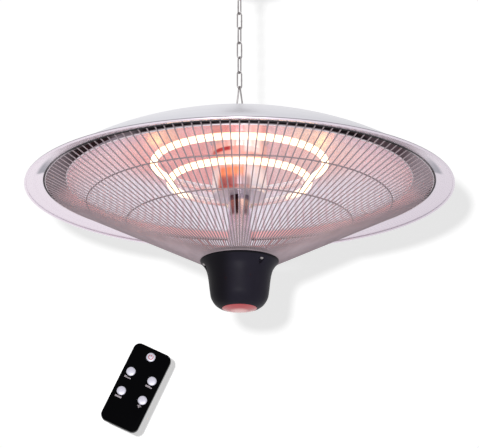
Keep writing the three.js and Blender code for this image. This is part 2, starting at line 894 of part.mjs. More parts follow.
function guardShape() {
  const places = [];
  const corners = [];
  const quad = (a, b, c, d) => corners.push(a, b, c, a, c, d);
  const addPlace = (radius, height, turn) => {
    places.push(radius * Math.sin(turn), -radius * Math.cos(turn), height);
    return places.length / 3 - 1;
  };
  // A ring's near face carries the wires: it has four corners at each wire, its far face two
  const addRing = (nearRadius, farRadius, middle, farHeight) =>
    [...Array(wireCount).keys()].map((wire) => {
      const turn = (wire / wireCount) * 2 * Math.PI;
      const halfWire = Math.asin(wireWidth / 2 / nearRadius);
      const nearPair = (height) =>
        [-halfWire, halfWire].map((edge) => addPlace(nearRadius, height, turn + edge));
      return {
        low: nearPair(middle - wireWidth / 2),
        high: nearPair(middle + wireWidth / 2),
        farLow: addPlace(farRadius, middle - farHeight / 2, turn),
        farHigh: addPlace(farRadius, middle + farHeight / 2, turn),
      };
    });
  const outer = addRing(guardOuterFace, guardOuterFace + guardRingDepth, guardOuterRise, guardRingHeight);
  const inner = addRing(guardInnerFace, guardInnerFace - guardInnerDepth, guardInnerRise, wireWidth);
  for (let wire = 0; wire < wireCount; wire += 1) {
    const next = (wire + 1) % wireCount;
    const [a, b] = [outer[wire], outer[next]];
    corners.push(a.high[0], a.farHigh, a.high[1], a.low[0], a.low[1], a.farLow);
    quad(a.high[1], a.farHigh, b.farHigh, b.high[0]);
    quad(a.farLow, a.low[1], b.low[0], b.farLow);
    quad(a.farHigh, a.farLow, b.farLow, b.farHigh);
    quad(a.low[1], a.high[1], b.high[0], b.low[0]);
    const [c, d] = [inner[wire], inner[next]];
    corners.push(c.high[0], c.high[1], c.farHigh, c.low[0], c.farLow, c.low[1]);
    quad(c.high[1], d.high[0], d.farHigh, c.farHigh);
    quad(c.farLow, d.farLow, d.low[0], c.low[1]);
    quad(c.farHigh, d.farHigh, d.farLow, c.farLow);
    quad(c.low[1], d.low[0], d.high[0], c.high[1]);
    quad(a.high[0], a.high[1], c.high[1], c.high[0]);
    quad(a.low[0], c.low[0], c.low[1], a.low[1]);
    quad(a.low[0], a.high[0], c.high[0], c.low[0]);
    quad(a.low[1], c.low[1], c.high[1], a.high[1]);
  }
  const mesh = new THREE.BufferGeometry();
  mesh.setAttribute("position", new THREE.BufferAttribute(new Float32Array(places), 3));
  mesh.setIndex(corners);
  return mesh;
}

function supportShape(radius) {
  const middle = guardWireTop(radius) + (supportWireRadius + seatGap) / Math.cos(guardSlope);
  const section = [];
  const sides = wireFacets - 1;
  for (let i = 0; i < sides; i += 1) {
    const angle = (i / sides) * 2 * Math.PI;
    section.push([
      radius + supportWireRadius * Math.cos(angle),
      middle + supportWireRadius * Math.sin(angle),
    ]);
  }
  return ringed(section, supportFacets);
}

function guardWireTop(radius) {
  return guardOuterRise + wireWidth / 2 - (guardOuterFace - radius) * Math.tan(guardSlope);
}

function addGuard() {
  piece("wire_guard", guardShape(), finishes.guardSteel);
  piece("guard_support_outer", supportShape(outerSupportRadius), finishes.guardSteel);
  piece("guard_support_inner", supportShape(innerSupportRadius), finishes.guardSteel);
}

// Hub

function hubOutline() {
  const outline = hubOutlineShares.map(([radiusShare, dropShare]) => [
    hubFlangeRadius * radiusShare,
    hubTop - hubHeight * dropShare,
  ]);
  return [...outline, [hubLensRadius + lensFit, hubTop - hubHeight]];
}

function hubScrewPlaces() {
  return [...Array(hubScrewCount).keys()].map((i) =>
    polar(hubScrewCircleRadius, hubScrewTurn + (i * 360) / hubScrewCount),
  );
}

// The inner wall, from the lens's hole up to the flange
function hubInside() {
  const inside = offsetOutline(hubOutline(), hubWall);
  inside[0][1] = hubTop;
  inside[inside.length - 1] = [hubLensRadius + lensFit, hubTop - hubHeight + hubWall];
  return inside.reverse();
}

function hubShape() {
  const outer = hubOutline();
  let shell = toManifold(ringed([...outer, ...hubInside()], hubFacets));
  const filled = toManifold(turned([[0, hubTop], ...outer, [0, hubTop - hubHeight]], hubFacets));
  for (const [x, y] of hubScrewPlaces()) {
    const boss = toManifold(rod(hubBossRadius, hubTop - hubBossHeight, hubTop).translate(x, y, 0));
    shell = shell.add(boss.intersect(filled));
  }
  const screwHole = hubScrewRadius + hubScrewFit;
  for (const [x, y] of hubScrewPlaces()) {
    const recess = rod(hubRecessRadius, hubTop - hubHeight, hubTop - hubRecessDrop).translate(x, y, 0);
    const hole = rod(screwHole, hubTop - hubHeight, hubTop + cutOverrun).translate(x, y, 0);
    shell = shell.subtract(toManifold(recess)).subtract(toManifold(hole));
  }
  return fromManifold(shell);
}

function hubScrewShape() {
  const headTop = hubTop - hubRecessDrop - seatGap;
  return turned(
    [
      [0, headTop - hubScrewHeadHeight],
      [hubScrewHeadRadius, headTop - hubScrewHeadHeight],
      [hubScrewHeadRadius, headTop],
      [hubScrewRadius, headTop],
      [hubScrewRadius, hubPlateTop],
      [0, hubPlateTop],
    ],
    smallFacets,
  );
}

function hubPlateShape() {
  const disc = collar(rodRadius + rodFit, hubPlateRadius, hubPlateUnder, hubPlateTop, hubFacets);
  const posts = [-postOffset, postOffset].map((x) =>
    rod(postRadius, hubPlateUnder - postLength, hubPlateUnder + hubPlateSheet / 2).translate(x, 0, 0),
  );
  const hole = (radius, x, y) =>
    rod(radius, hubPlateUnder - cutOverrun, hubPlateTop + cutOverrun).translate(x, y, 0);
  const screwHoles = hubScrewPlaces().map(([x, y]) => hole(hubScrewRadius + hubScrewFit, x, y));
  return cut(joined(disc, ...posts), hole(loomExitRadius, 0, loomColumnOffset), ...screwHoles);
}

function lensShape() {
  const bottom = hubTop - hubHeight;
  const flangeTop = lensFlangeTop();
  const flangeBottom = flangeTop - lensFlangeHeight;
  const inner = hubLensRadius - lensWall;
  const dome = lensDomeShares.map(([radiusShare, dropShare]) => [
    hubLensRadius * radiusShare,
    bottom - lensDome * dropShare,
  ]);
  return turned(
    [
      ...dome,
      [hubLensRadius, flangeBottom],
      [hubLensRadius + lensFlange, flangeBottom],
      [hubLensRadius + lensFlange, flangeTop],
      [inner, flangeTop],
      [inner, bottom],
      [0, bottom - lensDome + lensWall],
    ],
    roundFacets,
  );
}

// The lens's flange rests on the hub's inner wall round the lens's hole
function lensFlangeTop() {
  return heightOn(hubInside(), hubLensRadius + lensFlange, hubFacets) + seatGap + lensFlangeHeight;
}

function controlBoardShape() {
  const top = controlBoardTop;
  const under = top - boardSheet;
  const board = block(boardWidth, boardDepth, under, top);
  const sunk = boardSheet / 2;
  const relay = block(relayWidth, relayDepth, under - relayHeight, under + sunk);
  const canister = rod(canisterRadius, under - canisterHeight, under + sunk);
  return joined(board, relay.translate(relayOffset, 0, 0), canister.translate(-relayOffset, 0, 0));
}

function receiverBoardShape() {
  const bottom = lensFlangeTop() + seatGap;
  const board = rod(receiverBoardRadius, bottom, bottom + boardSheet, roundFacets);
  const receiver = block(receiverWidth, receiverDepth, bottom - receiverHeight, bottom + boardSheet / 2);
  return joined(board, receiver);
}

function addHub() {
  piece("hub_plate", hubPlateShape(), finishes.spunSteel);
  piece("hub_housing", hubShape(), finishes.blackPlastic);
  piece("hub_lens", lensShape(), finishes.redLens);
  piece("control_board", controlBoardShape(), finishes.board);
  piece("receiver_board", receiverBoardShape(), finishes.board);
  hubScrewPlaces().forEach(([x, y], i) => {
    piece(`hub_screw_${i + 1}`, hubScrewShape(), finishes.zincSteel).position.set(x, y, 0);
  });
}

// Remote control: modelled lying on its back, its face up, then stood up and tilted

const remote = new THREE.Group();
remote.position.set(remoteX, remoteY, rimHeight + remoteRise);
remote.rotation.set(Math.PI / 2, THREE.MathUtils.degToRad(remoteTilt), 0, "YXZ");
assembly.add(remote);

const remoteEnd = remoteLength / 2;
const remoteButtons = [
  ["power_button", 0, remoteEnd - powerButtonInset],
  ["remote_button_1", -buttonColumnOffset, remoteEnd - upperButtonInset],
  ["remote_button_2", buttonColumnOffset, remoteEnd - upperButtonInset],
  ["remote_button_3", -buttonColumnOffset, remoteEnd - lowerButtonInset],
  ["remote_button_4", buttonColumnOffset, remoteEnd - lowerButtonInset],
];

const remoteFace = remoteFrontDepth;
const remoteBack = remoteFrontDepth - remoteThickness;
const buttonFlangeTop = remoteFace - remoteFaceWall - seatGap;
const buttonFlangeBottom = buttonFlangeTop - buttonFlangeHeight;
const remoteBoardTop = buttonFlangeBottom - buttonTravel - seatGap;
const remoteBoardUnder = remoteBoardTop - remoteBoardSheet;
const drawerMiddle = drawerLength / 2 - remoteEnd;

function remoteSlab(inset, bottom, top) {
  const radius = Math.max(remoteCornerRadius - inset, remoteWall);
  return roundedPlate(remoteWidth - 2 * inset, remoteLength - 2 * inset, radius, bottom, top);
}

function remoteFrontShape() {
  const outer = remoteSlab(0, 0, remoteFace);
  const inside = remoteSlab(remoteWall, -cutOverrun, remoteFace - remoteFaceWall);
  const holes = remoteButtons.map(([, x, y]) =>
    rod(buttonRadius + buttonFit, 0, remoteFace + cutOverrun, roundFacets).translate(x, y, 0),
  );
  return cut(outer, inside, ...holes);
}

function remoteBackShape() {
  const outer = remoteSlab(0, remoteBack, -seatGap);
  const boardSpace = remoteSlab(remoteWall, remoteBoardUnder - seatGap, cutOverrun);
  const floorSpace = remoteSlab(remoteWall + remoteLedge, remoteBack + remoteFaceWall, cutOverrun);
  const slotLength = drawerLength + drawerFit + cutOverrun;
  const slot = block(
    drawerWidth + 2 * drawerFit,
    slotLength,
    remoteBack - cutOverrun,
    remoteBack + drawerHeight + drawerFit,
  );
  slot.translate(0, slotLength / 2 - remoteEnd - cutOverrun, 0);
  return cut(outer, boardSpace, floorSpace, slot);
}

function buttonShape() {
  const crown = remoteFace + buttonProud;
  return turned(
    [
      [0, buttonFlangeBottom],
      [buttonRadius + buttonFlange, buttonFlangeBottom],
      [buttonRadius + buttonFlange, buttonFlangeTop],
      [buttonRadius, buttonFlangeTop],
      [buttonRadius, crown - buttonDome],
      [buttonRadius - buttonDome, crown],
      [0, crown],
    ],
    roundFacets,
  );
}

function drawerShape() {
  const tray = block(drawerWidth, drawerLength, remoteBack, remoteBack + drawerHeight);
  const pocket = rod(cellRadius + drawerFit, remoteBack + drawerFloor, remoteFace, roundFacets);
  return cut(tray, pocket).translate(0, drawerMiddle, 0);
}

function addRemote() {
  const width = remoteWidth - 2 * remoteBoardInset;
  const length = remoteLength - 2 * remoteBoardEndInset;
  const boardSolid = block(width, length, remoteBoardUnder, remoteBoardTop);
  const cellBottom = remoteBack + drawerFloor + seatGap;
  const cell = rod(cellRadius, cellBottom, cellBottom + cellThickness, roundFacets);
  piece("remote_front", remoteFrontShape(), finishes.blackPlastic, remote);
  piece("remote_back", remoteBackShape(), finishes.blackPlastic, remote);
  piece("remote_board", boardSolid, finishes.board, remote);
  piece("coin_cell", cell, finishes.zincSteel, remote).position.y = drawerMiddle;
  piece("battery_drawer", drawerShape(), finishes.blackPlastic, remote);
  for (const [name, x, y] of remoteButtons) {
    piece(name, buttonShape(), finishes.silverPlastic, remote).position.set(x, y, 0);
  }
}

addChain();
addHanger();
addDish();
addWiring();
addLamps();
addGuard();
addHub();
addRemote();

export default assembly;
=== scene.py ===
"""A hanging patio heater, dressed over its frame: spun dish, mirror reflector, glowing ring lamps,
wire guard, control hub, chain with its ceiling plate, and the remote control. Sizes are in metres."""

import math

import bmesh
import bpy
from mathutils import Matrix, Vector
from mathutils.geometry import interpolate_bezier


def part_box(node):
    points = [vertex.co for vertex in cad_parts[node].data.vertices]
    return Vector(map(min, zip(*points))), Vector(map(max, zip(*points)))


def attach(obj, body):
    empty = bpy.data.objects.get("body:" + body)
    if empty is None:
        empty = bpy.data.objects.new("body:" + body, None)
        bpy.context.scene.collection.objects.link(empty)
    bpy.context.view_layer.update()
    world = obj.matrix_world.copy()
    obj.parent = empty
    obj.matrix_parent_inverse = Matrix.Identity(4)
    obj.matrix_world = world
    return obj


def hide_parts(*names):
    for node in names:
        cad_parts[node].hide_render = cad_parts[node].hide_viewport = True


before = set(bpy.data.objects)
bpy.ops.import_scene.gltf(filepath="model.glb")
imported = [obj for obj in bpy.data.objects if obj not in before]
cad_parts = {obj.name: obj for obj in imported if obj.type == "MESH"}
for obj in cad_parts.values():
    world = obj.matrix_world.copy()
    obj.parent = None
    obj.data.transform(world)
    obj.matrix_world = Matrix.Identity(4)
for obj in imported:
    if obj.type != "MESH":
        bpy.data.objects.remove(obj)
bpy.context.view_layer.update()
scene = bpy.context.scene

# Places taken from the frame


def low(node):
    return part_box(node)[0]


def high(node):
    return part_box(node)[1]


def heights(node):
    return low(node).z, high(node).z


def middle(node):
    return (low(node) + high(node)) / 2


def linked(name, data):
    """A new object in the scene."""
    made = bpy.data.objects.new(name, data)
    scene.collection.objects.link(made)
    return made


MM = 0.001
FULL_TURN = 2 * math.pi
QUARTER_TURN = math.pi / 2
SEAT_GAP = 0.3 * MM  # between two faces that touch
MERGE = 0.001 * MM
OVERRUN = 2 * MM  # how far a cutting shape runs past the wall that it cuts

RIM_BEAD = 1.8 * MM
RIM_Z = low("outer_dish").z + RIM_BEAD
RIM_RADIUS = high("outer_dish").x
LIP_RADIUS = 273 * MM
LIP_RISE = 6 * MM
ROD_HOLE = 4.35 * MM
LAMPS = {"outer": (120 * MM, 37 * MM), "inner": (97 * MM, 9.5 * MM)}  # radius, and height over the rim
LAMP_TUBE = 5 * MM

# Camera: the photograph's view from below, with a long lens

CAMERA_BACK = 3047.3 * MM
CAMERA_DROP = 976.6 * MM  # below the rim
CAMERA_PITCH = math.radians(16.89)
CAMERA_LENS = 172.1
SENSOR_WIDTH = 36
FAR_LIMIT = 50


def make_camera():
    lens = bpy.data.cameras.new("camera")
    lens.lens = CAMERA_LENS
    lens.sensor_width = SENSOR_WIDTH
    lens.clip_end = FAR_LIMIT
    camera = linked("camera", lens)
    camera.location = (0, -CAMERA_BACK, RIM_Z - CAMERA_DROP)
    camera.rotation_euler = (QUARTER_TURN + CAMERA_PITCH, 0, 0)
    scene.camera = camera


# Materials


def linear(hex_code):
    """A colour written as sRGB hex, as the linear RGBA that the nodes take."""
    shares = [int(hex_code[i : i + 2], 16) / 255 for i in (1, 3, 5)]
    return [s / 12.92 if s <= 0.04045 else ((s + 0.055) / 1.055) ** 2.4 for s in shares] + [1]


def add(tree, kind, inputs=None, **settings):
    """Adds a node. An input is given a value, or a link where it is given another node's output."""
    node = tree.nodes.new(kind)
    for name, value in settings.items():
        setattr(node, name, value)
    for socket, value in (inputs or {}).items():
        if isinstance(value, bpy.types.NodeSocket):
            tree.links.new(value, node.inputs[socket])
        else:
            node.inputs[socket].default_value = value
    return node


RELIEF_STRENGTH = 0.6


def shader_of(made):
    return made.node_tree.nodes["Principled BSDF"]


def finish(name, pale, deep, patch, roughness, grain, depth, metallic=0.0, lathe=False, **sockets):
    """A surface whose colour and roughness drift over patches, with a fine relief. patch and grain are
    real sizes in millimetres, depth is the relief's height, and a lathe finish runs in rings."""
    made = bpy.data.materials.new(name)
    made.use_nodes = True
    tree = made.node_tree
    shader = shader_of(made)
    place = add(tree, "ShaderNodeTexCoord").outputs["Object"]
    if lathe:
        flat = add(tree, "ShaderNodeVectorMath", {0: place, 1: (1, 1, 0)}, operation="MULTIPLY")
        reach = add(tree, "ShaderNodeVectorMath", {0: flat.outputs[0]}, operation="LENGTH")
        place = add(tree, "ShaderNodeCombineXYZ", {"X": reach.outputs["Value"]}).outputs[0]
    drift = add(tree, "ShaderNodeTexNoise", {"Vector": place, "Scale": 1 / (patch * MM), "Detail": 3})
    shades = {0: drift.outputs[0], 6: linear(pale), 7: linear(deep)}
    colour = add(tree, "ShaderNodeMix", shades, data_type="RGBA")
    least, most = roughness
    dull = add(tree, "ShaderNodeMapRange", {"Value": drift.outputs[0], "To Min": least, "To Max": most})
    fine = add(tree, "ShaderNodeTexNoise", {"Vector": place, "Scale": 1 / (grain * MM), "Detail": 2})
    bumps = {"Height": fine.outputs[0], "Distance": depth * MM, "Strength": RELIEF_STRENGTH}
    relief = add(tree, "ShaderNodeBump", bumps)
    tree.links.new(colour.outputs[2], shader.inputs["Base Color"])
    tree.links.new(dull.outputs[0], shader.inputs["Roughness"])
    tree.links.new(relief.outputs[0], shader.inputs["Normal"])
    shader.inputs["Metallic"].default_value = metallic
    for socket, value in sockets.items():
        shader.inputs[socket.replace("_", " ")].default_value = value
    return made


def glow(made, strength, colour=None):
    """Lets a surface glow a little, in the given colour or else in its own."""
    shader = shader_of(made)
    if colour:
        shader.inputs["Emission Color"].default_value = linear(colour)
    else:
        own = shader.inputs["Base Color"].links[0].from_socket
        made.node_tree.links.new(own, shader.inputs["Emission Color"])
    shader.inputs["Emission Strength"].default_value = strength
    return made


# A span is an axis, the place where a colour is absent and the place where it is full. Places are in
# millimetres from the heater's axis, and heights are over the rim or another foot.


def over_x(start, end):
    return "X", start * MM, end * MM


def over_y(start, end):
    return "Y", start * MM, end * MM


def over_z(start, end, foot=RIM_Z):
    return "Z", foot + start * MM, foot + end * MM


def along(tree, axis, start, end, first=0.0, last=1.0):
    """A value that eases from first to last over a span, which for the axis "turn" lies between two
    sines of the direction from the heater's middle."""
    place = add(tree, "ShaderNodeTexCoord").outputs["Object"]
    if axis == "turn":
        flat = add(tree, "ShaderNodeVectorMath", {0: place, 1: (1, 1, 0)}, operation="MULTIPLY")
        place = add(tree, "ShaderNodeVectorMath", {0: flat.outputs[0]}, operation="NORMALIZE").outputs[0]
        axis = "Y"
    parts = add(tree, "ShaderNodeSeparateXYZ", {0: place})
    ranges = {"From Min": start, "From Max": end, "To Min": first, "To Max": last}
    inputs = {"Value": parts.outputs[axis], **ranges}
    return add(tree, "ShaderNodeMapRange", inputs, interpolation_type="SMOOTHSTEP").outputs[0]


def product(tree, *shares):
    total = shares[0]
    for share in shares[1:]:
        total = add(tree, "ShaderNodeMath", {0: total, 1: share}, operation="MULTIPLY").outputs[0]
    return total


def tinted(made, *tints):
    """Lets other colours come in, each where all of the spans behind it are full."""
    tree = made.node_tree
    colour = shader_of(made).inputs["Base Color"]
    for hex_code, *spans in tints:
        share = product(tree, *[along(tree, *span) for span in spans])
        shades = {0: share, 6: colour.links[0].from_socket, 7: linear(hex_code)}
        mix = add(tree, "ShaderNodeMix", shades, data_type="RGBA")
        tree.links.new(mix.outputs[2], colour)
    return made


LAMP_FADE = over_y(40, 72)  # where the lamps' glow dims, from the front to the back
LAMP_COLD = over_y(30, 70)  # where their own colour turns to that of a cold lamp
LAMP_CORE = 1 * MM  # over a tube's middle, where its glow begins to redden
LAMP_REACH = (12, 10)  # between these heights over a tube's middle its glow ends, in millimetres


def lamp_glow(made, core, edge, strength, far_strength):
    """A glow that is whitest at each lamp's middle height and dims towards the back of the heater."""
    tree = made.node_tree
    shader = shader_of(made)
    colour = linear(core)
    for _, height in LAMPS.values():
        middle_z = RIM_Z + height
        above = along(tree, "Z", middle_z + LAMP_CORE, middle_z + LAMP_TUBE)
        near = along(tree, *over_z(*LAMP_REACH, middle_z))
        shades = {0: product(tree, above, near), 6: colour, 7: linear(edge)}
        colour = add(tree, "ShaderNodeMix", shades, data_type="RGBA").outputs[2]
    tree.links.new(colour, shader.inputs["Emission Color"])
    tree.links.new(along(tree, *LAMP_FADE, strength, far_strength), shader.inputs["Emission Strength"])
    return made


# Aluminium sheet spun on a lathe: pale satin metal with faint rings, greyer towards the right as painted
# shade
dish_metal = tinted(
    finish("spun_aluminium", "#dddce3", "#d2d1d8", 14, (0.26, 0.36), 1.5, 0.02, 1.0, lathe=True),
    ("#cbcad0", over_x(-40, 220)),
)
# The dish's inner side and the reflector's back: black in front as painted shade, where no light
# reaches, and paler at the ends and behind as painted light, where the lamps' light leaks past the
# reflector
inside_metal = tinted(
    finish("mill_aluminium", "#1c1418", "#120c10", 9, (0.5, 0.7), 1.5, 0.03),
    ("#6e646a", over_x(-182, -172), over_x(-125, -150)),
    ("#4b4046", over_x(165, 185)),
    ("#857a81", over_x(222, 244)),
    ("#665c62", over_x(-225, -245)),
    ("#aba0a7", over_x(-198, -214), over_y(-60, -95)),
    ("#8c808a", over_z(24, 18), over_x(-218, -202), over_x(-150, -165), over_y(-60, -95)),
    ("#cc9a9d", over_y(40, 120)),
)
# Painted light: the surface glows a little in its own colour, though it is no lamp
glow(inside_metal, 0.6)
# The flared rim, buffed: lavender white, a little greyer towards the right as painted shade, with
# the grey wedges that the flare mirrors at its ends painted in as reflections
rim_metal = tinted(
    finish("buffed_rim", "#ebe0ea", "#e2d6e2", 12, (0.22, 0.32), 1.2, 0.01, 1.0, lathe=True),
    ("#d6ccd7", ("X", 0, RIM_RADIUS)),
    ("#8f8b98", over_z(2.8, 3.8), over_x(-244, -268), over_y(-50, -62)),
    ("#8f8b98", over_z(2.8, 3.8), over_x(244, 268), over_y(-50, -62)),
)
# The rolled bead's upper side and the edge where the dome begins, both darkened as painted shade,
# and the edge paler towards the back as painted light
bead_metal = finish("shaded_bead", "#96919b", "#8a858f", 12, (0.3, 0.4), 1.2, 0.01, 0.6)
edge_metal = tinted(
    finish("shaded_edge", "#3b363c", "#2f2a30", 12, (0.5, 0.6), 1.2, 0.01),
    ("#d6c3c9", over_y(40, 100)),
)
# The reflector, polished to a mirror, coloured with painted light: pink from the glow in front, pale
# grey behind the column, pinker up over the lamps, and peach beside the lamps' ends as painted
# reflections of them
mirror_metal = tinted(
    finish("mirror_aluminium", "#fbdde5", "#f5d0da", 16, (0.12, 0.2), 3, 0.004, 0.75, lathe=True),
    ("#f0eaf6", over_y(0, 110)),
    ("#f6bcbe", over_z(42, 56), over_x(80, 10)),
    ("#f6d3d3", over_z(42, 56), over_x(10, 80)),
    ("#ffd3bd", over_x(-134, -120), over_x(-76, -96), over_y(-4, -24)),
    ("#ffe2d2", over_x(62, 84), over_x(128, 114), over_y(28, 4)),
)
lip_metal = finish("rolled_reflector_edge", "#e9dde4", "#ddd0d8", 8, (0.3, 0.4), 1, 0.01, 0.4)
# Steel wire and sheet, bright zinc plated: bluish grey with dull patches
zinc = finish("zinc_plated_steel", "#aaa6a8", "#86807f", 6, (0.28, 0.45), 0.5, 0.02, 1.0)
# Welded guard wire with a nickel plating: mauve, and pink on the wires behind as painted light from
# the lamps
guard_metal = tinted(
    finish("nickel_plated_wire", "#a2949a", "#8d7f85", 20, (0.6, 0.7), 0.6, 0.01, 0.5),
    ("#db9092", ("turn", 0.45, 0.85), over_y(20, 60)),
)
# The guard's outer ring: pale at its ends, darkened as painted shade of the dish in front and behind
ring_metal = tinted(
    finish("nickel_plated_ring", "#c2bac1", "#b3abb2", 20, (0.4, 0.5), 0.6, 0.01, 0.6),
    ("#171013", over_y(-125, -165)),
    ("#4f474c", over_y(5, 45)),
)
# The lamp can: chrome, coloured with painted reflections: pink from the lamps' glow, greyer at the top,
# bluish lower down and pale at the foot, a painted highlight right of its front, orange and maroon at
# its front left from the lamps' glow with a mauve grey patch beside them, and a thin dark red line of
# painted shade near its top
CAN_FRONT = over_y(4, -4)
CAN_LEFT = over_x(-32, -24)
CAN_FOOT = over_z(-16, -10)
can_chrome = tinted(
    finish("chrome_with_painted_reflections", "#e6c6c6", "#ddb9ba", 25, (0.45, 0.55), 2, 0.004, 0.5),
    ("#c6bac6", over_z(56, 62)),
    ("#d4d8ea", over_z(30, 20)),
    ("#f4f0fa", over_x(0, 10), over_x(34, 26), over_z(40, 46)),
    ("#ab4850", over_x(-42, -32), over_x(-6, -16), CAN_FRONT, over_z(44, 47), over_z(53, 50)),
    ("#dd8d70", CAN_LEFT, over_x(16, 0), CAN_FRONT, over_z(28, 18), over_z(-14, -8)),
    ("#96565c", CAN_LEFT, over_x(8, -6), CAN_FRONT, over_z(14, 3), CAN_FOOT),
    ("#a594a0", over_x(-10, 2), over_x(20, 12), CAN_FRONT, over_z(14, 3), CAN_FOOT),
    ("#e6deea", over_z(-9, -13)),
)
# The column: chrome with painted reflections of the dark hollows round it as upright bars, each given
# by its colour and its two sides in millimetres, and paler over its lower part as a painted reflection
COLUMN_BARS = [("#7c5a60", -13, -7.5), ("#2c171b", -6.2, -1.6), ("#6e6067", 0.4, 1.6), ("#857880", 6, 13)]
BAR_BLUR = 0.8
column_chrome = finish("chromed_steel", "#dccfdc", "#cec1ce", 25, (0.2, 0.3), 2, 0.004, 1.0)
for bar, left, right in COLUMN_BARS:
    sides = over_x(left - BAR_BLUR, left + BAR_BLUR), over_x(right + BAR_BLUR, right - BAR_BLUR)
    tinted(column_chrome, (bar, *sides, over_z(-44, -38)))
tinted(column_chrome, ("#efe7f2", over_z(-40, -60)))
# Fused quartz tube, lit from inside: the glass itself seems to glow, and is clear where it doesn't
quartz = tinted(
    finish(
        "glowing_quartz", "#fff2dc", "#ffe6c0", 30, (0.08, 0.14), 2, 0.005, Transmission_Weight=0.6, IOR=1.46
    ),
    ("#fbf7fb", LAMP_COLD),
)
lamp_glow(quartz, "#fff0d2", "#f59a66", 0.95, 0.02)
clearness = along(quartz.node_tree, *LAMP_COLD, 0.6, 1)
quartz.node_tree.links.new(clearness, shader_of(quartz).inputs["Transmission Weight"])
tungsten = tinted(
    finish("white_hot_tungsten", "#ffe0b0", "#ffc880", 5, (0.4, 0.5), 0.4, 0.01), ("#dccfd6", LAMP_COLD)
)
lamp_glow(tungsten, "#ffd9a0", "#ffc27a", 4.5, 0.15)
# Steatite lamp ends: chalky, slightly speckled
ceramic = finish("steatite", "#ece7dc", "#ddd5c6", 4, (0.55, 0.7), 0.3, 0.03)
# ABS moulded in a fine-textured tool: near black, with a soft sheen, darker on the left side as
# painted shade, and darker still from just under the hub's top upwards
HUB_TOP = high("hub_housing").z
black_plastic = tinted(
    finish("moulded_abs", "#201e28", "#1a1821", 12, (0.42, 0.52), 0.35, 0.02, Specular_IOR_Level=0.06),
    ("#0e0c12", over_x(-6, -26)),
    ("#100f14", over_z(-3.5, -2, HUB_TOP)),
)
# The remote's shells: piano black
gloss_black = finish(
    "gloss_abs", "#030304", "#020203", 20, (0.1, 0.16), 1, 0.002, Specular_IOR_Level=0.02
)
# Tinted acrylic over an indicator lamp, paler at the bottom of its dome as a painted reflection
LENS_LOW = low("hub_lens").z
lens_plastic = tinted(
    finish(
        "red_acrylic", "#b5353d", "#a62c35", 8, (0.12, 0.2), 0.8, 0.004, Transmission_Weight=0.15, IOR=1.49
    ),
    ("#eab4b3", over_z(1.5, 0, LENS_LOW)),
)
glow(lens_plastic, 0.08, "#d8323c")
# A seal of dull black rubber
seal_rubber = finish("epdm_rubber", "#1d1c1e", "#141315", 3, (0.7, 0.85), 0.4, 0.03)
# Silver-painted button caps with a fine sparkle, and the remote's print
button_silver = finish("silver_paint", "#c6c4cf", "#918f9c", 1.6, (0.35, 0.5), 0.25, 0.02, 0.3)
icon_red = finish("red_print", "#b3525b", "#a2454e", 2, (0.5, 0.6), 0.3, 0.002)
print_grey = finish("grey_print", "#a59ba2", "#958b92", 2, (0.5, 0.6), 0.3, 0.002)
# What is out of sight inside: boards with a green mask, a nylon block, sleeved wires, a steel cell
board_green = finish("solder_mask", "#1f5a3a", "#174a2e", 3, (0.3, 0.45), 0.5, 0.01)
terminal_grey = finish("polyamide", "#cfc9b8", "#c1baa6", 5, (0.45, 0.6), 0.4, 0.02)
silicone = finish("silicone_sleeving", "#8e3326", "#7c2a1f", 4, (0.55, 0.7), 0.5, 0.03)
cell_steel = finish("coin_cell_steel", "#c4c3c6", "#b2b0b4", 3, (0.22, 0.32), 0.3, 0.01, 1.0)

# Shapes

SHARP_ANGLE = math.radians(35)
BEVEL_ANGLE = math.radians(50)
ROUND_STEPS = 48
SMALL_STEPS = 24
ROD_STEPS = 32
BOSS_STEPS = 40
SLEEVE_STEPS = 64
HUB_STEPS = 96
DISH_STEPS = 192


def spun(profile, steps=ROUND_STEPS, closed=False):
    """A shape turned about Z from points of radius and height."""
    bm = bmesh.new()
    corners = [bm.verts.new((radius, 0, height)) for radius, height in profile]
    ends = list(zip(corners, corners[1:] + corners[:1] if closed else corners[1:]))
    edges = [bm.edges.new(pair) for pair in ends]
    bmesh.ops.spin(
        bm, geom=corners + edges, cent=(0, 0, 0), axis=(0, 0, 1), angle=FULL_TURN, steps=steps,
        use_merge=True,
    )
    return tidied(bm)


def tidied(bm):
    """bm with its doubles merged and its faces pointing outwards."""
    bmesh.ops.remove_doubles(bm, verts=bm.verts, dist=MERGE)
    bmesh.ops.dissolve_degenerate(bm, edges=bm.edges, dist=MERGE)
    bmesh.ops.recalc_face_normals(bm, faces=bm.faces)
    return bm


def sharp_edges(bm, least=BEVEL_ANGLE):
    return [e for e in bm.edges if e.is_manifold and e.calc_face_angle(0) > least]


def edges_at(bm, height):
    """The sharp edges that lie at a height."""
    return [e for e in sharp_edges(bm) if all(abs(v.co.z - height) < MM for v in e.verts)]


def bevelled(bm, edges, width, steps=3):
    bmesh.ops.bevel(
        bm, geom=edges, offset=width, offset_type="OFFSET", segments=steps, profile=0.5,
        affect="EDGES", clamp_overlap=True, material=-1,
    )
    return bm


def slab(width, depth, bottom, top, corner=0, edge=0, steps=8):
    """An upright block with round corners and softened edges."""
    bm = bmesh.new()
    size = Matrix.Diagonal((width, depth, top - bottom, 1))
    bmesh.ops.create_cube(bm, size=1, matrix=shift(z=(bottom + top) / 2) @ size)
    if corner:
        upright = [e for e in bm.edges if abs(e.verts[0].co.z - e.verts[1].co.z) > (top - bottom) / 2]
        bevelled(bm, upright, corner, steps)
    if edge:
        bevelled(bm, sharp_edges(bm), edge)
    return tidied(bm)


